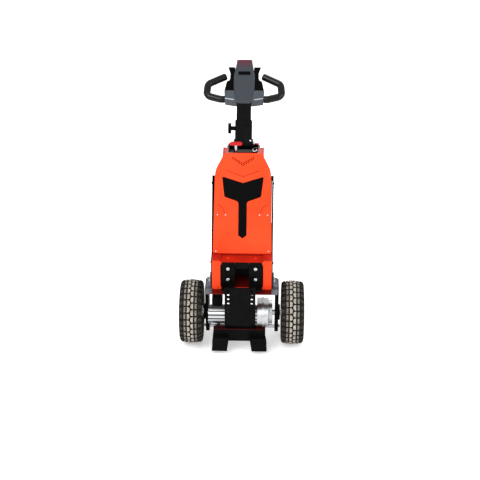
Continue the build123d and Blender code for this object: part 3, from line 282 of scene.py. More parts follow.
def bracket_painted_light_coat():
    # Powder coat on the small angle brackets: black steel, coated mid grey here as painted light from above
    return layered_finish(
        "bracket_painted_light_coat", "#5C5D66", 0.42, IOR=1.5, Specular_IOR_Level=0.2,
        patches=(25, "#54555E", "#64656E"), grain=(0.9, 0.03, 0.5))


def painted_shade_strip_coat():
    # The guard strip's coat, a red that is almost black: painted shade, as the strip lies in shade behind the
    # stand
    return layered_finish(
        "painted_shade_strip_coat", "#2C0504", 0.5, IOR=1.5, Specular_IOR_Level=0.1,
        patches=(60, "#250403", "#340605"), grain=(0.9, 0.03, 0.3))


keep_finishes(
    orange_gloss_coat, painted_shade_red_coat, painted_shade_ledge_coat, black_powder_coat, black_sheet_coat, bracket_painted_light_coat,
    painted_shade_strip_coat)


# %% [markdown]
# The plastics are moulded ABS, which takes a fine grain from its mould. The safety controls are glossier, and
# the grips have a dipped sleeve. The head's shell turns wine-red towards its tip: the distance along the head
# drives that fade, so that it needs no painted map.

# %% Moulded plastics
HEAD_FOOT = at(0, 303.5, 946)
HEAD_LEAN = math.radians(40)
HEAD_UP = Vector((0, math.cos(HEAD_LEAN), math.sin(HEAD_LEAN)))
TIP_START = 160.0
TIP_END = 200.0
HEAD_GREY = "#393D44"
TIP_WINE = "#5A2A36"


def black_abs():
    # Moulded ABS with a fine spark-eroded grain
    return layered_finish(
        "black_abs", "#030303", 0.40, IOR=1.54, Specular_IOR_Level=0.04,
        gloss=(10, 0.34, 0.48), grain=(0.7, 0.02, 0.5))


def grey_abs():
    # Moulded grey ABS of the tiller head, satin with broad highlights
    return layered_finish(
        "grey_abs", HEAD_GREY, 0.36, IOR=1.54, Specular_IOR_Level=0.2,
        patches=(70, "#41464D", "#4A4F56"), grain=(0.8, 0.02, 0.45))


def painted_highlight_abs():
    # The head's rounded edge shows as a bright line, so it gets a painted highlight: a lighter, glossier tone
    # of the same ABS
    return layered_finish("painted_highlight_abs", "#B4B8C0", 0.25, IOR=1.54, patches=(20, "#A9ADB6", "#BEC2CA"))


def tipped_abs():
    # The head's shell: the same grey ABS, with a wine-red tone that fades in towards its tip
    finish, tree, shader, place = start_finish(
        "tipped_abs", HEAD_GREY, 0.36, IOR=1.54, Specular_IOR_Level=0.2)
    along = add_node(tree, "ShaderNodeVectorMath", {"operation": "DOT_PRODUCT"}, {1: HEAD_UP}, {0: place})
    foot = HEAD_FOOT.dot(HEAD_UP)
    fade = add_node(
        tree, "ShaderNodeMapRange",
        values={"From Min": foot + TIP_START * MM, "From Max": foot + TIP_END * MM},
        links={"Value": along.outputs["Value"]})
    ramp = add_node(tree, "ShaderNodeValToRGB", links={"Fac": fade.outputs["Result"]})
    ramp.color_ramp.elements[0].color = linear(HEAD_GREY)
    ramp.color_ramp.elements[1].color = linear(TIP_WINE)
    tree.links.new(ramp.outputs["Color"], shader.inputs["Base Color"])
    add_grain(tree, shader, place, 0.8, 0.02, 0.45)
    return finish


def red_gloss_plastic():
    # Glossy moulded plastic of the safety controls
    return layered_finish(
        "red_gloss_plastic", "#C2100F", 0.22, IOR=1.54, Specular_IOR_Level=0.3,
        patches=(20, "#B80E10", "#CC1414"), grain=(1.5, 0.02, 0.2))


def maroon_gloss_plastic():
    # Deep wine-red gloss moulding of the belly button at the head's tip
    return layered_finish(
        "maroon_gloss_plastic", "#5E2230", 0.25, IOR=1.54, Specular_IOR_Level=0.3,
        patches=(20, "#561E2B", "#682736"), grain=(1.5, 0.02, 0.2))


def grip_vinyl():
    # Dipped vinyl sleeve on the grips: soft black with long glossy highlights
    return layered_finish(
        "grip_vinyl", "#040404", 0.16, IOR=1.5, Specular_IOR_Level=0.28,
        gloss=(14, 0.18, 0.30), grain=(1.2, 0.02, 0.3))


keep_finishes(
    black_abs, grey_abs, painted_highlight_abs, tipped_abs, red_gloss_plastic, maroon_gloss_plastic, grip_vinyl)


# %% [markdown]
# Bare metal is cast or turned. A casting has a dull, slightly cloudy skin, and plated steel is brighter. The
# motor's ribs are in the CAD piece. The finish follows them by the angle round the motor's axis, and paints
# shade into their valleys.

# %% Bare and plated metal
MOTOR_AXIS = at(0, -55, 156)
MOTOR_RIBS = 16
HALF_RIB = 0.5
VALLEY_END = 0.14
CREST_START = 0.24


def cast_aluminium():
    # Die-cast aluminium: bright grey with a cloudy, slightly rough skin
    return layered_finish(
        "cast_aluminium", "#C6C8CA", 0.36, metallic=1.0,
        patches=(16, "#C2C4C6", "#D2D4D6"), gloss=(7, 0.34, 0.42), grain=(1.0, 0.015, 0.2))


def ribbed_aluminium():
    # The motor's ribbed casing: bright crests, with painted shade in the valleys so that the ribs show from
    # afar
    finish, tree, shader, place = start_finish("ribbed_aluminium", "#C6C8CA", 0.32, metallic=1.0)
    centred = add_node(tree, "ShaderNodeMapping", values={"Location": -MOTOR_AXIS}, links={"Vector": place})
    split = add_node(tree, "ShaderNodeSeparateXYZ", links={"Vector": centred.outputs["Vector"]})
    angle = add_node(tree, "ShaderNodeMath", {"operation": "ARCTAN2"},
                     links={0: split.outputs["Z"], 1: split.outputs["Y"]})
    ribs = add_node(tree, "ShaderNodeMath", {"operation": "MULTIPLY"}, {1: MOTOR_RIBS / math.tau},
                    {0: angle.outputs[0]})
    valley = add_node(tree, "ShaderNodeMath", {"operation": "PINGPONG"}, {1: HALF_RIB}, {0: ribs.outputs[0]})
    ramp = add_node(tree, "ShaderNodeValToRGB", links={"Fac": valley.outputs[0]})
    ramp.color_ramp.elements[0].position = VALLEY_END
    ramp.color_ramp.elements[1].position = CREST_START
    ramp.color_ramp.elements[0].color = linear("#4C4E50")
    ramp.color_ramp.elements[1].color = linear("#D2D4D6")
    tree.links.new(ramp.outputs["Color"], shader.inputs["Base Color"])
    vary_roughness(tree, shader, place, 7, 0.26, 0.42)
    add_grain(tree, shader, place, 1.0, 0.03, 0.4)
    return finish


def zinc_steel():
    # Bright zinc plating on turned steel
    return layered_finish("zinc_steel", "#CDD0D2", 0.28, metallic=1.0, gloss=(6, 0.20, 0.36))


def silver_rim_coat():
    # Silver paint with fine metal flake on pressed rims
    return layered_finish(
        "silver_rim_coat", "#B9BBBD", 0.38, metallic=0.75,
        patches=(20, "#AEB0B2", "#C2C4C6"), grain=(1.5, 0.02, 0.3))


keep_finishes(cast_aluminium, ribbed_aluminium, zinc_steel, silver_rim_coat)


# %% [markdown]
# Rubber is almost matt, and the worn tops of the tread are paler and dustier than its grooves. One function
# makes all three tops, which differ in tone only: wear and dust, and painted light that is strongest on the
# crown, which faces the lamps. The caster's wheel is nylon and the battery's case is polypropylene.

# %% Rubber and other mouldings
def tyre_rubber():
    # Carbon black rubber in the grooves and side walls
    return layered_finish(
        "tyre_rubber", "#171512", 0.72, IOR=1.52, Specular_IOR_Level=0.15,
        patches=(18, "#12100E", "#1E1B17"), grain=(1.2, 0.05, 0.5))


def worn_and_lit_tread(name, colour, dark, light):
    """The tops of tread blocks: scuffed and dusty from the floor, with painted light in their tone."""
    return layered_finish(
        name, colour, 0.82, IOR=1.5, Specular_IOR_Level=0.2,
        patches=(9, dark, light), grain=(1.5, 0.08, 0.6))


def crown_tread():
    # The crown's blocks are worn pale and dusty, and paler still with painted light where they face the lamps
    return worn_and_lit_tread("crown_tread", "#A79F94", "#8E867A", "#BBB4A9")


def bar_tread():
    # The bars beside the crown are less worn, and a dull grey with less painted light than the crown
    return worn_and_lit_tread("bar_tread", "#7B756E", "#625C55", "#8E8881")


def shoulder_tread():
    # The shoulder lugs are little worn and get the least painted light, so they keep almost the black of the
    # rubber
    return worn_and_lit_tread("shoulder_tread", "#332F2A", "#27241F", "#3E3933")


def caster_nylon():
    # Moulded nylon wheel centre: dark and dull, with a fine grain
    return layered_finish("caster_nylon", "#2A2C2E", 0.48, IOR=1.53, grain=(1.0, 0.03, 0.4))


def battery_case():
    # Polypropylene battery case: near black, with a dull sheen
    return layered_finish("battery_case", "#1B1C1F", 0.5, IOR=1.49, grain=(1.0, 0.03, 0.4))


keep_finishes(tyre_rubber, crown_tread, bar_tread, shoulder_tread, caster_nylon, battery_case)
print(len(FINISHES), "finishes")


# %% [markdown]
# ## Rounded edges on the CAD pieces
# A real plate or moulding has no knife edge: a small radius catches a line of light. Each CAD piece is
# copied, its loose triangles are merged, and a bevel rounds its sharp edges. Modelling every piece anew would
# lose the CAD's sizes. The copy then stands for the CAD piece.

# %% Copy and round the pieces
SMOOTH_ANGLE = math.radians(35)
SHARP_ANGLE = math.radians(40)
FLAT_ANGLE = math.radians(0.5)
MERGE_REACH = 0.01
EDGE_STEPS = 2


def select_only(piece):
    bpy.ops.object.select_all(action="DESELECT")
    piece.select_set(True)
    bpy.context.view_layer.objects.active = piece


def apply_all(piece):
    select_only(piece)
    for name in [modifier.name for modifier in piece.modifiers]:
        bpy.ops.object.modifier_apply(modifier=name)


def smooth_shade(piece):
    select_only(piece)
    bpy.ops.object.shade_smooth_by_angle(angle=SMOOTH_ANGLE)


def dress(piece, finish):
    piece.data.materials.clear()
    piece.data.materials.append(FINISHES[finish])


def even_normals(piece):
    """Lets the large flat faces set the shading, so that they stay flat beside a rounded edge."""
    smooth_shade(piece)
    weights = piece.modifiers.new("even", "WEIGHTED_NORMAL")
    weights.keep_sharp = True
    apply_all(piece)


def merged_copy(node):
    """A copy of a CAD piece with its loose triangles merged to whole faces, which stands for that piece."""
    piece = nodes[node].copy()
    piece.data = nodes[node].data.copy()
    piece.name = node + "_shown"
    piece.parent = None
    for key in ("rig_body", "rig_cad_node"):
        del piece[key]
    bpy.context.scene.collection.objects.link(piece)
    select_only(piece)
    bpy.ops.object.mode_set(mode="EDIT")
    bpy.ops.mesh.select_all(action="SELECT")
    bpy.ops.mesh.remove_doubles(threshold=MERGE_REACH * MM)
    bpy.ops.mesh.dissolve_limited(angle_limit=FLAT_ANGLE)
    bpy.ops.object.mode_set(mode="OBJECT")
    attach(piece, body_of_node[node])
    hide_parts(node)
    return piece


def round_edges(piece, edge_mm):
    """Rounds the sharp edges of a piece and evens out its shading."""
    bevel = piece.modifiers.new("edge", "BEVEL")
    bevel.width = edge_mm * MM
    bevel.segments = EDGE_STEPS
    bevel.limit_method = "ANGLE"
    bevel.angle_limit = SHARP_ANGLE
    apply_all(piece)
    even_normals(piece)


def rounded_copy(node, edge_mm, finish):
    """A merged copy of a CAD piece with its sharp edges rounded."""
    piece = merged_copy(node)
    round_edges(piece, edge_mm)
    dress(piece, finish)
    return piece


ROUNDED = {
    "base_frame": (1.2, "orange_gloss_coat"),
    "front_cover": (1.0, "orange_gloss_coat"),
    "cover_t_panel": (0.8, "black_abs"),
    "side_panel_left": (1.0, "black_sheet_coat"),
    "side_panel_right": (1.0, "black_sheet_coat"),
    "rear_panel": (1.0, "black_powder_coat"),
    "top_deck": (0.8, "black_abs"),
    "key_switch": (0.8, "black_abs"),
    "battery_disconnect": (0.8, "red_gloss_plastic"),
    "tiller_clevis": (1.0, "black_powder_coat"),
    "hitch_plate": (1.0, "black_powder_coat"),
    "hitch_bracket_left": (1.0, "black_powder_coat"),
    "hitch_bracket_right": (1.0, "black_powder_coat"),
    "centre_bracket": (1.0, "black_powder_coat"),
    "axle_hanger_left": (1.0, "black_powder_coat"),
    "axle_hanger_right": (1.0, "black_powder_coat"),
    # The hanger brackets' grey is painted light
    "hanger_bracket_left": (1.0, "bracket_painted_light_coat"),
    "hanger_bracket_right": (1.0, "bracket_painted_light_coat"),
    "drive_motor": (0.4, "ribbed_aluminium"),
    "gear_case": (1.0, "cast_aluminium"),
    "brake_box": (0.8, "black_abs"),
    "front_stand": (1.5, "black_powder_coat"),
    # The guard strip's near-black red is painted shade
    "guard_strip": (0.8, "painted_shade_strip_coat"),
    "caster_fork": (1.0, "zinc_steel"),
    "caster_plate": (1.0, "zinc_steel"),
    "tiller_outer_tube": (0.8, "black_powder_coat"),
    "clamp_knob": (1.0, "black_abs"),
    "tiller_inner_tube": (0.8, "black_powder_coat"),
    "head_base": (1.0, "grey_abs"),
    "head_shell": (1.5, "tipped_abs"),
    "side_pods": (1.5, "black_abs"),
    "thumb_paddles": (1.5, "black_abs"),
    "rocker_switch": (0.6, "black_abs"),
    "belly_button": (0.8, "maroon_gloss_plastic"),
    "grip_left": (4.0, "grip_vinyl"),
    "grip_right": (4.0, "grip_vinyl"),
}
PLAIN = {
    "battery_pack": "battery_case",
    "axle_tube": "zinc_steel",
    "bearing_housing_left": "black_powder_coat",
    "bearing_housing_right": "black_powder_coat",
    "stand_rod": "zinc_steel",
    "rim_left": "silver_rim_coat",
    "rim_right": "silver_rim_coat",
    "half_shaft_left": "zinc_steel",
    "half_shaft_right": "zinc_steel",
    "caster_hub": "caster_nylon",
    "caster_tyre": "tyre_rubber",
}
shown = {node: rounded_copy(node, edge, finish) for node, (edge, finish) in ROUNDED.items()}
for node, finish in PLAIN.items():
    dress(nodes[node], finish)
    smooth_shade(nodes[node])
print(len(shown), "rounded copies and", len(PLAIN), "plain CAD pieces dressed")


# %% [markdown]
# ## Tyres and their tread
# The tyre has two crown rows of blocks with a zigzag groove between them, a row of bars on each side and lugs
# over the shoulders. One block of each kind is drawn flat above the wheel, wrapped down onto the CAD tyre and
# given its depth. An array turned round the axle repeats it. A bump in the rubber would be quicker, but it
# would leave the tyre's outline smooth. A few helpers that all new pieces use come first.

# %% Helpers for new pieces
SIDES = (("left", -1), ("right", 1))


def node_middle(node):
    """The middle of a CAD piece's box."""
    low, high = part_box(node)
    return (low + high) / 2


def pick_corners(piece, test):
    """Edit mode on a piece, with only those corner points selected that pass a test."""
    select_only(piece)
    bpy.ops.object.mode_set(mode="EDIT")
    bpy.ops.mesh.select_mode(type="VERT")
    bpy.ops.mesh.select_all(action="DESELECT")
    bpy.ops.object.mode_set(mode="OBJECT")
    for corner in piece.data.vertices:
        corner.select = test(corner.co)
    bpy.ops.object.mode_set(mode="EDIT")


def join_pieces(parts, name):
    """Joins pieces to one, with its place in its mesh."""
    bpy.ops.object.select_all(action="DESELECT")
    for part in parts:
        part.select_set(True)
    bpy.context.view_layer.objects.active = parts[0]
    if len(parts) > 1:
        bpy.ops.object.join()
    bpy.ops.object.transform_apply(location=True, rotation=True, scale=True)
    parts[0].name = name
    return parts[0]


def seat_piece(piece, body):
    """Lets a new piece ride on a body."""
    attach(piece, body)


def spare_copy(piece):
    """A copy of a piece with its own mesh."""
    copy = piece.copy()
    copy.data = piece.data.copy()
    bpy.context.scene.collection.objects.link(copy)
    return copy


# %% [markdown]
# The blocks are placed by their distance from the tyre's middle line, in millimetres, and have a length along
# the tread. Thirty steps fill the turn. One half of the pattern is half a step behind the other.

# %% Draw one block of each kind and turn it round the wheel
TREAD_STEPS = 30
TREAD_DEPTH = 4.5
TREAD_LIFT = 20.0
TREAD_STEP = math.tau / TREAD_STEPS
STAGGER = TREAD_STEP / 4
CORNER_STEPS = 2
tyre_low, tyre_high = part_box("tyre_left")
wheel_middle = node_middle("tyre_left")
tyre_radius = (tyre_high.z - tyre_low.z) / 2


def turn_about(middle, angle):
    """The turn of this angle about a wheel's axle."""
    return Matrix.Translation(middle) @ Matrix.Rotation(angle, 4, "X") @ Matrix.Translation(-middle)


def tread_block(near_mm, far_mm, length_mm, side, corner_mm, cuts, finish):
    """One kind of block on one half of the tread, wrapped onto the tyre and repeated round it."""
    bpy.ops.object.select_all(action="DESELECT")
    middle = side * (near_mm + far_mm) / 2 * MM
    bpy.ops.mesh.primitive_plane_add(
        size=1, location=wheel_middle + Vector((middle, 0, tyre_radius + TREAD_LIFT * MM)))
    block = bpy.context.object
    block.scale = ((far_mm - near_mm) * MM, length_mm * MM, 1)
    bpy.ops.object.transform_apply(location=True, rotation=True, scale=True)
    inner_x = wheel_middle.x + middle
    pick_corners(block, lambda place: side * (place.x - inner_x) < 0)
    bpy.ops.mesh.bevel(offset=corner_mm * MM, affect="VERTICES", segments=CORNER_STEPS)
    if cuts:
        bpy.ops.mesh.select_all(action="SELECT")
        bpy.ops.mesh.subdivide(number_cuts=cuts)
    bpy.ops.object.mode_set(mode="OBJECT")
    block.data.materials.append(FINISHES[finish])
    block.data.materials.append(FINISHES["tyre_rubber"])
    wrap = block.modifiers.new("wrap", "SHRINKWRAP")
    wrap.target = nodes["tyre_left"]
    wrap.wrap_method = "PROJECT"
    wrap.use_project_z = True
    wrap.use_negative_direction = True
    wrap.use_positive_direction = False
    depth = block.modifiers.new("depth", "SOLIDIFY")
    depth.thickness = TREAD_DEPTH * MM
    depth.offset = -1
    depth.material_offset_rim = 1
    apply_all(block)
    block.data.transform(turn_about(wheel_middle, STAGGER * side))
    bpy.ops.object.empty_add()
    step = bpy.context.object
    step.matrix_world = turn_about(wheel_middle, TREAD_STEP)
    around = block.modifiers.new("around", "ARRAY")
    around.count = TREAD_STEPS
    around.use_relative_offset = False
    around.use_object_offset = True
    around.offset_object = step
    apply_all(block)
    bpy.data.objects.remove(step)
    return block


# Each row: near edge, far edge, length and corner radius in millimetres, cuts, finish
BLOCKS = (
    (1.7, 12.4, 22.5, 7.4, 0, "crown_tread"),
    (19.0, 26.6, 21.0, 1.5, 1, "bar_tread"),
    (31.5, 46.6, 14.0, 4.0, 4, "shoulder_tread"),
)
halves = [
    tread_block(near, far, length, side, corner, cuts, finish)
    for _, side in SIDES for near, far, length, corner, cuts, finish in BLOCKS
]
tread_left = join_pieces(halves, "tread_left")
tread_right = spare_copy(tread_left)
tread_right.name = "tread_right"
tread_right.data.transform(Matrix.Translation(node_middle("tyre_right") - wheel_middle))
for tread, body in ((tread_left, "left_wheel"), (tread_right, "right_wheel")):
    seat_piece(tread, body)
print("tread of", TREAD_STEPS, "steps,", len(tread_left.data.polygons), "faces on each wheel")


# %% [markdown]
# The carcass is a copy of the CAD tyre with its crown sunk, so that the blocks stand out of it and their tops
# lie where the CAD tyre's surface is. A Displace modifier on a vertex group moves the crown only, where a
# scale would also thin the side walls.

# %% Sink the crown of each tyre under its blocks
CROWN_REACH = 16.0
CARCASS_SINK = 3.6


def tyre_carcass(node):
    """A copy of the tyre whose crown lies below the tread blocks, to stand for the CAD tyre."""
    carcass = merged_copy(node)
    middle = node_middle(node)
    crown = carcass.vertex_groups.new(name="crown")
    rising = [
        corner.index for corner in carcass.data.vertices
        if (corner.co - middle).yz.length > tyre_radius - CROWN_REACH * MM
    ]
    crown.add(rising, 1.0, "REPLACE")
    sink = carcass.modifiers.new("sink", "DISPLACE")
    sink.vertex_group = "crown"
    sink.mid_level = 0.0
    sink.strength = -CARCASS_SINK * MM
    apply_all(carcass)
    smooth_shade(carcass)
    dress(carcass, "tyre_rubber")


for side, _ in SIDES:
    tyre_carcass("tyre_" + side)
print("both crowns sunk by", CARCASS_SINK, "mm")


# %% [markdown]
# ## Coats on the base frame
# The frame's fronts have the bright body colour. Its inside, the ledge under the cover and the cross shelf
# show a deep red in the photo, where the orange lies in shade, and get painted shade. Splitting the frame
# would leave seams, so its faces get their coats by their place. Bisect first cuts the shelf's ends, which
# the hanger brackets stand on, so that they can take the brackets' grey, which is painted light.

# %% Paint the frame's faces by place
def paint(piece, finish, test):
    """A second coat on the faces whose centre and normal pass a test."""
    piece.data.materials.append(FINISHES[finish])
    number = len(piece.data.materials) - 1
    for face in piece.data.polygons:
        if test(face.center, face.normal):
            face.material_index = number


SHELF_TOP = at(0, 0, 279).z
LEDGE = at(0, 0, 405).z
LEDGE_SKIN = 1.0
LEDGE_DEPTH = 12.0
LEG_INNER = 87.5 * MM
FRONT = at(0, -61, 0).y
CUT_SEAM = 0.1
REAR_FACING = 0.5
base_frame = shown["base_frame"]
panel_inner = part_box("side_panel_right")[0].x
select_only(base_frame)
bpy.ops.object.mode_set(mode="EDIT")
for _, sign in SIDES:
    bpy.ops.mesh.select_all(action="SELECT")
    bpy.ops.mesh.bisect(plane_co=(sign * panel_inner, 0, 0), plane_no=(1, 0, 0))
bpy.ops.object.mode_set(mode="OBJECT")
# The shelf, the frame's inside and the ledge take darker reds as painted shade; the shelf's ends take the
# brackets' grey as painted light
paint(base_frame, "painted_shade_red_coat", lambda centre, normal: centre.z < SHELF_TOP)
paint(base_frame, "bracket_painted_light_coat", lambda centre, normal: abs(centre.x) > panel_inner + CUT_SEAM * MM)
paint(base_frame, "painted_shade_red_coat", lambda centre, normal: (
    SHELF_TOP < centre.z < LEDGE - LEDGE_SKIN * MM and abs(centre.x) < LEG_INNER and centre.y > FRONT
    and normal.y < REAR_FACING))
paint(base_frame, "painted_shade_ledge_coat", lambda centre, normal: (
    centre.z > LEDGE - LEDGE_DEPTH * MM and abs(centre.x) < LEG_INNER))
print("base frame in", len(base_frame.data.materials), "coats")


# %% [markdown]
# ## Cover details
# The cover has a V of small vent holes under its neck, and a red lip that closes the slit above the ledge.
# The holes are cut with one boolean, from a set of small cylinders that stand across the raked face, and
# their walls take the cylinders' black as painted shade inside the holes. The lip takes the ledge's painted
# shade. Dark dots in the paint would look flat from the side.

# %% Cut the vents and close the slit
COVER_SLOPE = math.radians(65)
COVER_FOOT_Z = 413.0
face_up = Vector((0, math.cos(COVER_SLOPE), math.sin(COVER_SLOPE)))
face_out = Vector((0, -math.sin(COVER_SLOPE), math.cos(COVER_SLOPE)))
VENT_D = 5.4
VENT_STEP = 7.0
VENT_RISE = 4.4
VENT_ROW = 7.0
VENT_ROWS = 2
VENT_ARM = 6
VENT_LOW = 361.0
VENT_DEPTH = 14.0
VENT_FACETS = 10
GROOVE_TOP = 0.2
GROOVE_FLOOR = 1.4
LIP_PLACE = at(0, 4, 409)
LIP_SIZE = (174.0, 3.0, 8.0)
LIP_EDGE = 0.8


def on_cover(x, up):
    """A place on the cover's raked face: across, and up along the face from its foot."""
    return at(x, 0, COVER_FOOT_Z) + face_up * up * MM


def stand_along(piece, place, facing):
    """Moves a piece that stands on z = 0 to a place, facing out from it."""
    piece.location = place
    piece.rotation_euler = Vector(facing).to_track_quat("Z", "Y").to_euler()


def below_face(place):
    """How far a place lies under the cover's raked face, in millimetres."""
    return -(place - at(0, 0, COVER_FOOT_Z)).dot(face_out) / MM


def carve(pieces, block, wall_coat="INDEX"):
    """Takes a block out of pieces and drops it. With TRANSFER the new walls get the block's own coat."""
    for piece in pieces:
        cut = piece.modifiers.new("carve", "BOOLEAN")
        cut.operation = "DIFFERENCE"
        cut.solver = "EXACT"
        cut.object = block
        cut.material_mode = wall_coat
        apply_all(piece)
    bpy.data.objects.remove(block)


front_cover = shown["front_cover"]
# The grooves' floors and walls take the ledge's red: painted shade in the creases
paint(front_cover, "painted_shade_ledge_coat", lambda centre, normal: GROOVE_TOP < below_face(centre) < GROOVE_FLOOR)
bpy.ops.object.select_all(action="DESELECT")
bpy.ops.mesh.primitive_cylinder_add(
    vertices=VENT_FACETS, radius=VENT_D / 2 * MM, depth=VENT_DEPTH * MM)
drill = bpy.context.object
# The drill's black goes onto the holes' walls: painted shade inside each hole
dress(drill, "black_abs")
drills = []
for row in range(VENT_ROWS):
    for step in range(-VENT_ARM, VENT_ARM + 1):
        copy = spare_copy(drill)
        up = VENT_LOW + abs(step) * VENT_RISE + row * VENT_ROW
        stand_along(copy, on_cover(step * VENT_STEP, up), face_out)
        drills.append(copy)
bpy.data.objects.remove(drill)
carve([front_cover], join_pieces(drills, "vent_drills"), "TRANSFER")
print(len(drills), "vent holes in the cover")

bpy.ops.object.select_all(action="DESELECT")
bpy.ops.mesh.primitive_cube_add(size=1, location=LIP_PLACE)
lip = bpy.context.object
lip.name = "cover_lip"
lip.scale = [size * MM for size in LIP_SIZE]
bpy.ops.object.transform_apply(location=True, rotation=True, scale=True)
round_edges(lip, LIP_EDGE)
# The lip takes the ledge's red: painted shade under the cover's edge
dress(lip, "painted_shade_ledge_coat")
seat_piece(lip, "chassis")


# %% [markdown]
# ## Shoulders behind the cover
# Seen from the front, nothing shows beside the neck, so behind the cover's rim the body falls away to the
# back. A wedge is cut out of the cap, the side panels and the rear panel on each side. Every wedge is a cube
# whose corners are moved to a side outline, which is easier to follow than a cube that is turned and scaled.

# %% Cut the shoulders back
NECK_X = 85.0
BODY_X = 122.0
WEDGE_X = 150.0
WEDGE_TOP_Z = 830.0
WEDGE_REAR_Y = 330.0
RIM_DEPTH = 14.0
RIM_LOW_Y = 148.0
RIM_PAINT_Z = 700.0
RIM_TURN = 0.75
CUT_GAP = 0.2
PANEL_OVERLAP = 1.0
PANEL_CUT_Y = 80.0
ROOF_FRONT_Y = 140.0
ROOF_FRONT_Z = 700.0
ROOF_FALL = math.tan(math.radians(30))
COVER_TOP_Z = 785.0
DECK_EDGE_X = 63.0
DECK_END_Y = 236.0


def face_y(z):
    """How far back the cover's raked face lies at a height."""
    return (z - COVER_FOOT_Z) / math.tan(COVER_SLOPE)


def roof_z(y):
    """The roof's height at a distance back from the axle."""
    return ROOF_FRONT_Z - (y - ROOF_FRONT_Y) * ROOF_FALL


def deck_z(y):
    """The height of the deck's falling rear corners at a distance back from the axle."""
    return COVER_TOP_Z - (y - DECK_END_Y) * ROOF_FALL


def wedge(name, near_x, far_x, low_front, low_rear, high_front, high_rear):
    """A block between two places across, whose side outline has these four corners, as (back, up)."""
    bpy.ops.object.select_all(action="DESELECT")
    bpy.ops.mesh.primitive_cube_add(size=2)
    block = bpy.context.object
    block.name = name
    corners = {(-1, -1): low_front, (1, -1): low_rear, (-1, 1): high_front, (1, 1): high_rear}
    low_x, high_x = sorted((near_x, far_x))
    for corner in block.data.vertices:
        back, up = corners[round(corner.co.y), round(corner.co.z)]
        corner.co = at(low_x if corner.co.x < 0 else high_x, back, up)
    return block


for side, sign in SIDES:
    shoulder = wedge(
        "shoulder_wedge", sign * (NECK_X + CUT_GAP), sign * WEDGE_X,
        (RIM_LOW_Y, roof_z(RIM_LOW_Y)), (WEDGE_REAR_Y, roof_z(WEDGE_REAR_Y)),
        (face_y(WEDGE_TOP_Z) + RIM_DEPTH, WEDGE_TOP_Z), (WEDGE_REAR_Y, WEDGE_TOP_Z))
    carve([front_cover, shown["rear_panel"]], shoulder)
    beside_roof = wedge(
        "panel_wedge", sign * (BODY_X - PANEL_OVERLAP), sign * WEDGE_X,
        (PANEL_CUT_Y, roof_z(PANEL_CUT_Y)), (WEDGE_REAR_Y, roof_z(WEDGE_REAR_Y)),
        (PANEL_CUT_Y, WEDGE_TOP_Z), (WEDGE_REAR_Y, WEDGE_TOP_Z))
    carve([shown["side_panel_" + side]], beside_roof)
    even_normals(shown["side_panel_" + side])
    behind_deck = wedge(
        "deck_wedge", sign * DECK_EDGE_X, sign * WEDGE_X,
        (DECK_END_Y, COVER_TOP_Z), (WEDGE_REAR_Y, deck_z(WEDGE_REAR_Y)),
        (DECK_END_Y, WEDGE_TOP_Z), (WEDGE_REAR_Y, WEDGE_TOP_Z))
    carve([front_cover], behind_deck)
even_normals(front_cover)
even_normals(shown["rear_panel"])
# Faces at the top that turn away from the raked face take the ledge's red: painted shade on the deck's rim
paint(front_cover, "painted_shade_ledge_coat", lambda centre, normal: (
    centre.z > at(0, 0, RIM_PAINT_Z).z and normal.dot(face_out) < RIM_TURN))
print("cover cut back to", len(front_cover.data.polygons), "faces")


# %% [markdown]
# The cuts leave the body open. A wall beside the neck, a sloping roof and the deck's two rear corners close
# it again. They are wedges too. Filling the holes face by face would give them no thickness.

# %% Close the shoulders
NECK_WALL = 2.6
WALL_TOP_Z = 768.0
SKIN_DEPTH = 5.0
ROOF_T = 3.0
ROOF_REAR_Y = 289.0
ROOF_EDGE = 0.6


def finish_wedge(block, finish):
    """Rounds, dresses and seats a wedge that stays."""
    round_edges(block, ROOF_EDGE)
    dress(block, finish)
    seat_piece(block, "chassis")


for side, sign in SIDES:
    wall = wedge(
        "neck_wall_" + side, sign * (NECK_X - NECK_WALL), sign * NECK_X,
        (face_y(ROOF_FRONT_Z) + SKIN_DEPTH, ROOF_FRONT_Z - ROOF_T),
        (ROOF_REAR_Y, roof_z(ROOF_REAR_Y) - ROOF_T),
        (face_y(WALL_TOP_Z) + SKIN_DEPTH, WALL_TOP_Z),
        (ROOF_REAR_Y, deck_z(ROOF_REAR_Y) - ROOF_T))
    finish_wedge(wall, "orange_gloss_coat")
    roof = wedge(
        "shoulder_roof_" + side, sign * NECK_X, sign * (BODY_X - CUT_GAP),
        (ROOF_FRONT_Y, ROOF_FRONT_Z - ROOF_T), (ROOF_REAR_Y, roof_z(ROOF_REAR_Y) - ROOF_T),
        (ROOF_FRONT_Y, ROOF_FRONT_Z), (ROOF_REAR_Y, roof_z(ROOF_REAR_Y)))
    finish_wedge(roof, "black_powder_coat")
    deck_corner = wedge(
        "deck_corner_" + side, sign * DECK_EDGE_X, sign * NECK_X,
        (DECK_END_Y, COVER_TOP_Z - ROOF_T), (ROOF_REAR_Y, deck_z(ROOF_REAR_Y) - ROOF_T),
        (DECK_END_Y, COVER_TOP_Z), (ROOF_REAR_Y, deck_z(ROOF_REAR_Y)))
    # The deck's corners take the same painted shade as its rim
    finish_wedge(deck_corner, "painted_shade_ledge_coat")
print("roofs fall from", ROOF_FRONT_Z, "to", round(roof_z(ROOF_REAR_Y)), "mm")


# %% [markdown]
# ## Controls on the deck
# The disconnect's wing stands on a bright stem above the tray, and the key switch on a short barrel with a
# bright bezel. Both start from the CAD piece's copy. Only its upper corners are moved, so that its seat stays
# where it is.

# %% Raise the disconnect and the key switch
DISCONNECT = at(-30, 194.8, 768)
WING_FOOT = 16.0
WING_LIFT = 24.0
STEM_R = 8.0
STEM_LOW = 7.0
STEM_HIGH = 38.0
UPRIGHT = 0.5
KEY = at(46, 194.8, 768)
KEY_FOOT = 4.0
KEY_LIFT = 12.0
BEZEL_R = 8.0
BEZEL_LOW = 20.0


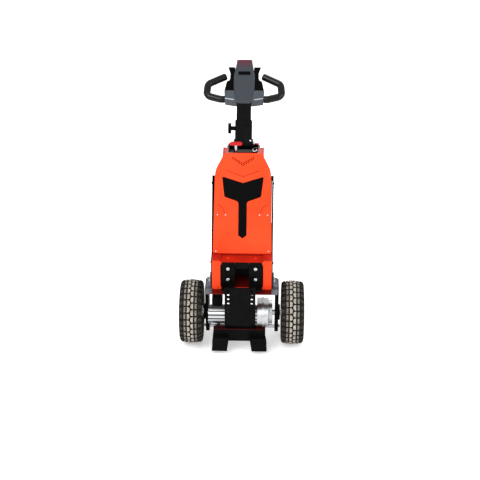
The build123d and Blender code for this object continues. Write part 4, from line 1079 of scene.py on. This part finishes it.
def move_corners(piece, test, shift):
    """Moves those corners of a piece that pass a test."""
    pick_corners(piece, test)
    bpy.ops.transform.translate(value=shift)
    bpy.ops.object.mode_set(mode="OBJECT")


disconnect = shown["battery_disconnect"]
move_corners(disconnect, lambda place: place.z > DISCONNECT.z + WING_FOOT * MM, (0, 0, WING_LIFT * MM))
paint(disconnect, "zinc_steel", lambda centre, normal: (
    (centre - DISCONNECT).xy.length < STEM_R * MM
    and STEM_LOW * MM < centre.z - DISCONNECT.z < STEM_HIGH * MM and abs(normal.z) < UPRIGHT))
key_switch = shown["key_switch"]
move_corners(key_switch, lambda place: place.z > KEY.z + KEY_FOOT * MM, (0, 0, KEY_LIFT * MM))
paint(key_switch, "zinc_steel", lambda centre, normal: (
    (centre - KEY).xy.length > BEZEL_R * MM and centre.z - KEY.z > BEZEL_LOW * MM))
print("wing raised by", WING_LIFT, "mm, key switch by", KEY_LIFT, "mm")


# %% [markdown]
# ## Controls on the head
# The grips carry a thick dipped sleeve, the pods swell and the thumb paddles are broad spoons. A Displace
# modifier thickens the grips evenly, which a scale would not. The pods are scaled about their inner side, so
# that no gap opens at the head. The rounded edge of the wings shows as a bright line in the photo, and its
# faces get a painted highlight: a lighter coat.

# %% Draw out the grips, paddles and pods
SLEEVE = 2.8
PADDLE_WIDER = 1.45
PADDLE_LONGER = 15.0
POD_WIDER = 1.3
POD_ROOT = 44.0
HEAD_OUT = Vector((0, -math.sin(HEAD_LEAN), math.cos(HEAD_LEAN)))
HIGHLIGHT_LEAST = 0.25
HIGHLIGHT_MOST = 0.95
HIGHLIGHT_INNER = 28.0


def resize_corners(piece, test, factors, middle):
    """Scales those corners of a piece that pass a test, about a middle."""
    pick_corners(piece, test)
    bpy.ops.transform.resize(value=factors, center_override=middle)
    bpy.ops.object.mode_set(mode="OBJECT")


for side, _ in SIDES:
    grip = shown["grip_" + side]
    sleeve = grip.modifiers.new("sleeve", "DISPLACE")
    sleeve.mid_level = 0.0
    sleeve.strength = SLEEVE * MM
    apply_all(grip)
    even_normals(grip)

paddles = shown["thumb_paddles"]
pods = shown["side_pods"]
paddle_middle = node_middle("thumb_paddles")
inner_edge = min(abs(corner.co.x) for corner in paddles.data.vertices)
paddle_x = (inner_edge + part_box("thumb_paddles")[1].x) / 2
for _, sign in SIDES:
    resize_corners(paddles, lambda place: place.x * sign > 0, (PADDLE_WIDER, 1, 1), (sign * paddle_x, 0, 0))
    resize_corners(pods, lambda place: place.x * sign > 0, (POD_WIDER, 1, 1), (sign * POD_ROOT * MM, 0, 0))
move_corners(paddles, lambda place: (place - paddle_middle).dot(HEAD_UP) > 0, HEAD_UP * PADDLE_LONGER * MM)
even_normals(paddles)
even_normals(pods)
# The wings' rounded edge takes a lighter coat: a painted highlight
paint(shown["head_base"], "painted_highlight_abs", lambda centre, normal: (
    HIGHLIGHT_LEAST < normal.dot(HEAD_OUT) < HIGHLIGHT_MOST and HIGHLIGHT_LEAST < -normal.dot(HEAD_UP) < HIGHLIGHT_MOST
    and abs(centre.x) > HIGHLIGHT_INNER * MM))
print("grips thicker by", SLEEVE, "mm, paddles longer by", PADDLE_LONGER, "mm")


# %% [markdown]
# ## Drive, hangers and stand
# In the photo the gear case is a full casting, and the hangers, the stand's toes and the hitch plate are
# stouter than in the CAD model. The case is scaled about its middle. The others are drawn out by the corners
# on one side, so that the other side stays where it is. The brake box stands further back. The caster's pin
# is turned down a little, so that the flat facets of pin and hub stay apart as the wheel rolls.

# %% Fill out the drive
CASE_BIGGER = 1.14
BRAKE_BACK = 20.0
HANGER_OUTSIDE = 144.0
HANGER_THICKER = 5.0
TOE_SIDE = 100.0
TOE_TOP = 70.0
TOE_WIDER = 5.0
PLATE_FOOT = 120.0
PLATE_LOWER = 12.0
CASTER_AXLE = at(0, 187, 100)
PIN_REACH = 8.8
PIN_SLIMMER = 0.92

resize_corners(
    shown["gear_case"], lambda place: True, (1, CASE_BIGGER, CASE_BIGGER), node_middle("gear_case"))
even_normals(shown["gear_case"])
move_corners(shown["brake_box"], lambda place: True, (0, BRAKE_BACK * MM, 0))
for side, sign in SIDES:
    move_corners(
        shown["axle_hanger_" + side], lambda place: place.x * sign > HANGER_OUTSIDE * MM,
        (sign * HANGER_THICKER * MM, 0, 0))
    move_corners(
        shown["front_stand"], lambda place: place.x * sign > TOE_SIDE * MM and place.z < TOE_TOP * MM,
        (sign * TOE_WIDER * MM, 0, 0))
move_corners(shown["hitch_plate"], lambda place: place.z < PLATE_FOOT * MM, (0, 0, -PLATE_LOWER * MM))
resize_corners(
    shown["caster_fork"], lambda place: (place - CASTER_AXLE).yz.length < PIN_REACH * MM,
    (1, PIN_SLIMMER, PIN_SLIMMER), CASTER_AXLE)
print("gear case", CASE_BIGGER, "times as big, hitch plate lower by", PLATE_LOWER, "mm")


# %% [markdown]
# ## Fasteners
# Two heads serve everywhere: a domed screw with a socket, and a hexagon head on a washer. Each is modelled
# once, about 10 mm across, and copied to its places at the size that it needs there.

# %% Model the two heads
HEAD_ACROSS = 10.0
DOME_FACETS = 18
DOME_H = 3.4
DOME_ROUND = 1.8
DOME_STEPS = 3
SOCKET_WALL = 0.9
SOCKET_TAPER = 0.1
SOCKET_DEPTH = 1.4
WASHER_FACETS = 20
WASHER_R = 7.0
WASHER_T = 1.2
HEXAGON_R = 5.6
HEXAGON_H = 4.0
HEXAGON_EDGE = 0.8
TOP_FACING = 0.9
FLAT_FACING = 0.99
TOP_SKIN = 0.1


def pick_faces(piece, test):
    """Edit mode on a piece, with only those faces selected whose centre and normal pass a test."""
    select_only(piece)
    bpy.ops.object.mode_set(mode="EDIT")
    bpy.ops.mesh.select_mode(type="FACE")
    bpy.ops.mesh.select_all(action="DESELECT")
    bpy.ops.object.mode_set(mode="OBJECT")
    for face in piece.data.polygons:
        face.select = test(face.center, face.normal)
    bpy.ops.object.mode_set(mode="EDIT")


def domed_head():
    """A domed screw head with a socket, standing on z = 0."""
    bpy.ops.object.select_all(action="DESELECT")
    bpy.ops.mesh.primitive_cylinder_add(
        vertices=DOME_FACETS, radius=HEAD_ACROSS / 2 * MM, depth=DOME_H * MM,
        location=(0, 0, DOME_H / 2 * MM))
    head = bpy.context.object
    bpy.ops.object.transform_apply(location=True, rotation=True, scale=True)
    pick_faces(head, lambda centre, normal: normal.z > TOP_FACING)
    bpy.ops.mesh.bevel(offset=DOME_ROUND * MM, segments=DOME_STEPS, affect="EDGES")
    bpy.ops.object.mode_set(mode="OBJECT")
    pick_faces(head, lambda centre, normal: (
        normal.z > FLAT_FACING and centre.z > (DOME_H - TOP_SKIN) * MM))
    bpy.ops.mesh.inset(thickness=SOCKET_WALL * MM, depth=0)
    bpy.ops.mesh.inset(thickness=SOCKET_TAPER * MM, depth=-SOCKET_DEPTH * MM)
    bpy.ops.object.mode_set(mode="OBJECT")
    smooth_shade(head)
    return head


def hexagon_head():
    """A hexagon head on a thin washer, standing on z = 0."""
    bpy.ops.object.select_all(action="DESELECT")
    bpy.ops.mesh.primitive_cylinder_add(
        vertices=WASHER_FACETS, radius=WASHER_R * MM, depth=WASHER_T * MM,
        location=(0, 0, WASHER_T / 2 * MM))
    washer = bpy.context.object
    bpy.ops.mesh.primitive_cylinder_add(
        vertices=6, radius=HEXAGON_R * MM, depth=HEXAGON_H * MM,
        location=(0, 0, (WASHER_T + HEXAGON_H / 2) * MM))
    head = bpy.context.object
    bpy.ops.object.transform_apply(location=True, rotation=True, scale=True)
    pick_faces(head, lambda centre, normal: normal.z > TOP_FACING)
    bpy.ops.mesh.bevel(offset=HEXAGON_EDGE * MM, segments=EDGE_STEPS, affect="EDGES")
    bpy.ops.object.mode_set(mode="OBJECT")
    head = join_pieces([head, washer], "hexagon_head")
    smooth_shade(head)
    return head


HEADS = {"domed": domed_head(), "hexagon": hexagon_head()}
print("faces of the heads:", {kind: len(head.data.polygons) for kind, head in HEADS.items()})


# %% [markdown]
# Each set of like fasteners is one piece that rides with what it sits on. Its places are in millimetres:
# across, back from the drive axle, and up. A ray against the facing direction finds the CAD face under each
# head, so that no depth has to be worked out by hand.

# %% Seat the fasteners
RAY_START = 0.4


def seat_on(node, place, facing):
    """The point on a CAD piece that a ray meets on its way in, against the facing direction."""
    mesh = nodes[node].data
    surface = BVHTree.FromPolygons(
        [corner.co for corner in mesh.vertices], [face.vertices for face in mesh.polygons])
    point = surface.ray_cast(place + facing * RAY_START, -facing)[0]
    if point is None:
        raise ValueError("no face of " + node + " under a fastener")
    return point


def fasten(name, kind, across_mm, node, places, facing, finish="zinc_steel", slot="zinc_steel"):
    """One piece of like fasteners, seated on a CAD piece and riding on its body."""
    heads = []
    for place in places:
        head = spare_copy(HEADS[kind])
        stand_along(head, seat_on(node, place, facing), facing)
        head.scale = [across_mm / HEAD_ACROSS] * 3
        heads.append(head)
    piece = join_pieces(heads, name)
    dress(piece, finish)
    seat_piece(piece, body_of_node[node])
    print(len(heads), "heads in", name)


ACROSS = Vector((1, 0, 0))
BACK = Vector((0, 1, 0))
UP = Vector((0, 0, 1))
PANEL_PLACES = ((-40, 300), (-40, 392), (270, 300), (270, 590), (130, 670))
COVER_PLACES = ((108, 9), (103, 158), (70, 158))
PIVOT_BACK = 225
PIVOT_UP = 810
HUB_OUT = 211
RIM_BOLT_R = 36
MOTOR_END = 138
MOTOR_BOLT_R = 28
TUBE_BOLT_UP = 6
TUBE_LEAN = math.radians(60)
TUBE_UP = Vector((0, math.cos(TUBE_LEAN), math.sin(TUBE_LEAN)))
TUBE_OUT = Vector((0, -math.sin(TUBE_LEAN), math.cos(TUBE_LEAN)))
BLACK = ("black_powder_coat", "black_paint")
ORANGE = ("orange_gloss_coat", "orange_paint")


def ring(middle, radius_mm, count, start_deg):
    """Places evenly round a circle that faces sideways."""
    turns = [math.radians(start_deg + 360 / count * step) for step in range(count)]
    return [middle + Vector((0, math.cos(turn), math.sin(turn))) * radius_mm * MM for turn in turns]


for side, sign in SIDES:
    outward = ACROSS * sign
    fasten("bracket_bolts_" + side, "domed", 15, "hitch_bracket_" + side,
           [at(sign * 56, -68, z) for z in (329, 378)], -BACK)
    fasten("panel_screws_" + side, "domed", 9, "side_panel_" + side,
           [at(sign * 126, y, z) for y, z in PANEL_PLACES], outward, *BLACK)
    fasten("hanger_bolts_" + side, "hexagon", 9, "hanger_bracket_" + side,
           [at(sign * 140, y, 308) for y in (-40, -16)], outward)
    fasten("rod_nut_" + side, "hexagon", 13, "stand_rod", [at(sign * 150, 0, 66.1)], outward)
    fasten("pivot_bolt_" + side, "hexagon", 13, "tiller_clevis",
           [at(sign * 40, PIVOT_BACK, PIVOT_UP)], outward)
    fasten("caster_nut_" + side, "hexagon", 15, "caster_fork", [CASTER_AXLE + outward * 35 * MM], outward)
    hub = axle + outward * HUB_OUT * MM
    fasten("hub_nut_" + side, "hexagon", 18, "half_shaft_" + side, [hub], outward)
    fasten("rim_bolts_" + side, "hexagon", 10, "rim_" + side, ring(hub, RIM_BOLT_R, 5, 36), outward)
fasten("tube_bolt", "domed", 8, "tiller_outer_tube",
       [at(29, PIVOT_BACK, PIVOT_UP) + TUBE_UP * TUBE_BOLT_UP * MM], TUBE_OUT)
fasten("ledge_studs", "domed", 8, "base_frame", [at(x, -30, 405) for x in (-56, 56)], UP, *ORANGE)
fasten("cover_screws", "domed", 6, "front_cover",
       [on_cover(sign * x, up) for x, up in COVER_PLACES for _, sign in SIDES], face_out)
fasten("caster_plate_nuts", "hexagon", 12, "caster_plate",
       [at(x, y, 269) for x in (-46, 46) for y in (186, 278)], -UP)
fasten("motor_end_bolts", "domed", 8, "drive_motor",
       ring(MOTOR_AXIS - ACROSS * MOTOR_END * MM, MOTOR_BOLT_R, 4, 45), -ACROSS)
fasten("rear_panel_screws", "domed", 9, "rear_panel",
       [at(x, 292, z) for x in (-105, 105) for z in (440, 590)], BACK, *BLACK)
for head in HEADS.values():
    bpy.data.objects.remove(head)


# %% [markdown]
# ## Floor and light
# A pale studio: a wide soft lamp above and in front, a weaker one on the other side, one behind, and an even
# white world. The camera and mirrors see the world as plain white. The floor glows a little for the camera
# only, because more light would also bleach the object. It keeps the object's shadow.

# %% Floor, lamps and world
FLOOR_SIZE = 40.0
FLOOR_LIFT = 0.38
FLOOR_GAP = 0.5
LAMP_AIM = Vector((0, 0, 0.5))
# Each row: name, place in metres, width in metres, watts
LAMPS = (
    ("key_lamp", (-1.6, -2.6, 3.4), 2.2, 90),
    ("fill_lamp", (2.6, -1.6, 2.0), 2.0, 30),
    ("back_lamp", (0.5, 3.0, 3.0), 2.5, 60),
)
SKY_LIGHT = 0.75
SKY_SEEN = 1.0
bpy.ops.object.select_all(action="DESELECT")
bpy.ops.mesh.primitive_plane_add(size=FLOOR_SIZE, location=(0, 0, -FLOOR_GAP * MM))
floor = bpy.context.object
floor.name = "studio_floor"
floor_finish, floor_tree, floor_shader, _ = start_finish(
    "studio_floor", "#FFFFFF", 0.9, Specular_IOR_Level=0.0)
floor_path = add_node(floor_tree, "ShaderNodeLightPath")
glow = add_node(floor_tree, "ShaderNodeMath", {"operation": "MULTIPLY"}, {1: FLOOR_LIFT},
                {0: floor_path.outputs["Is Camera Ray"]})
floor_shader.inputs["Emission Color"].default_value = linear("#FFFFFF")
floor_tree.links.new(glow.outputs[0], floor_shader.inputs["Emission Strength"])
floor.data.materials.append(floor_finish)

for name, place, size, watts in LAMPS:
    bpy.ops.object.light_add(type="AREA", location=place)
    lamp = bpy.context.object
    lamp.name = name
    lamp.data.size = size
    lamp.data.energy = watts
    lamp.rotation_euler = (LAMP_AIM - Vector(place)).to_track_quat("-Z", "Y").to_euler()

world = bpy.data.worlds.new("white_studio")
bpy.context.scene.world = world
world.use_nodes = True
sky = world.node_tree
path = add_node(sky, "ShaderNodeLightPath")
mirrored = add_node(sky, "ShaderNodeMath", {"operation": "ADD"},
                    links={0: path.outputs["Is Glossy Ray"], 1: path.outputs["Is Transmission Ray"]})
seen = add_node(sky, "ShaderNodeMath", {"operation": "ADD", "use_clamp": True},
                links={0: path.outputs["Is Camera Ray"], 1: mirrored.outputs[0]})
level = add_node(sky, "ShaderNodeMapRange", values={"To Min": SKY_LIGHT, "To Max": SKY_SEEN},
                 links={"Value": seen.outputs[0]})
sky.links.new(level.outputs["Result"], sky.nodes["Background"].inputs["Strength"])
sky.nodes["Background"].inputs["Color"].default_value = linear("#FFFFFF")
print(len(LAMPS), "lamps of", sum(watts for _, _, _, watts in LAMPS), "watts in all")
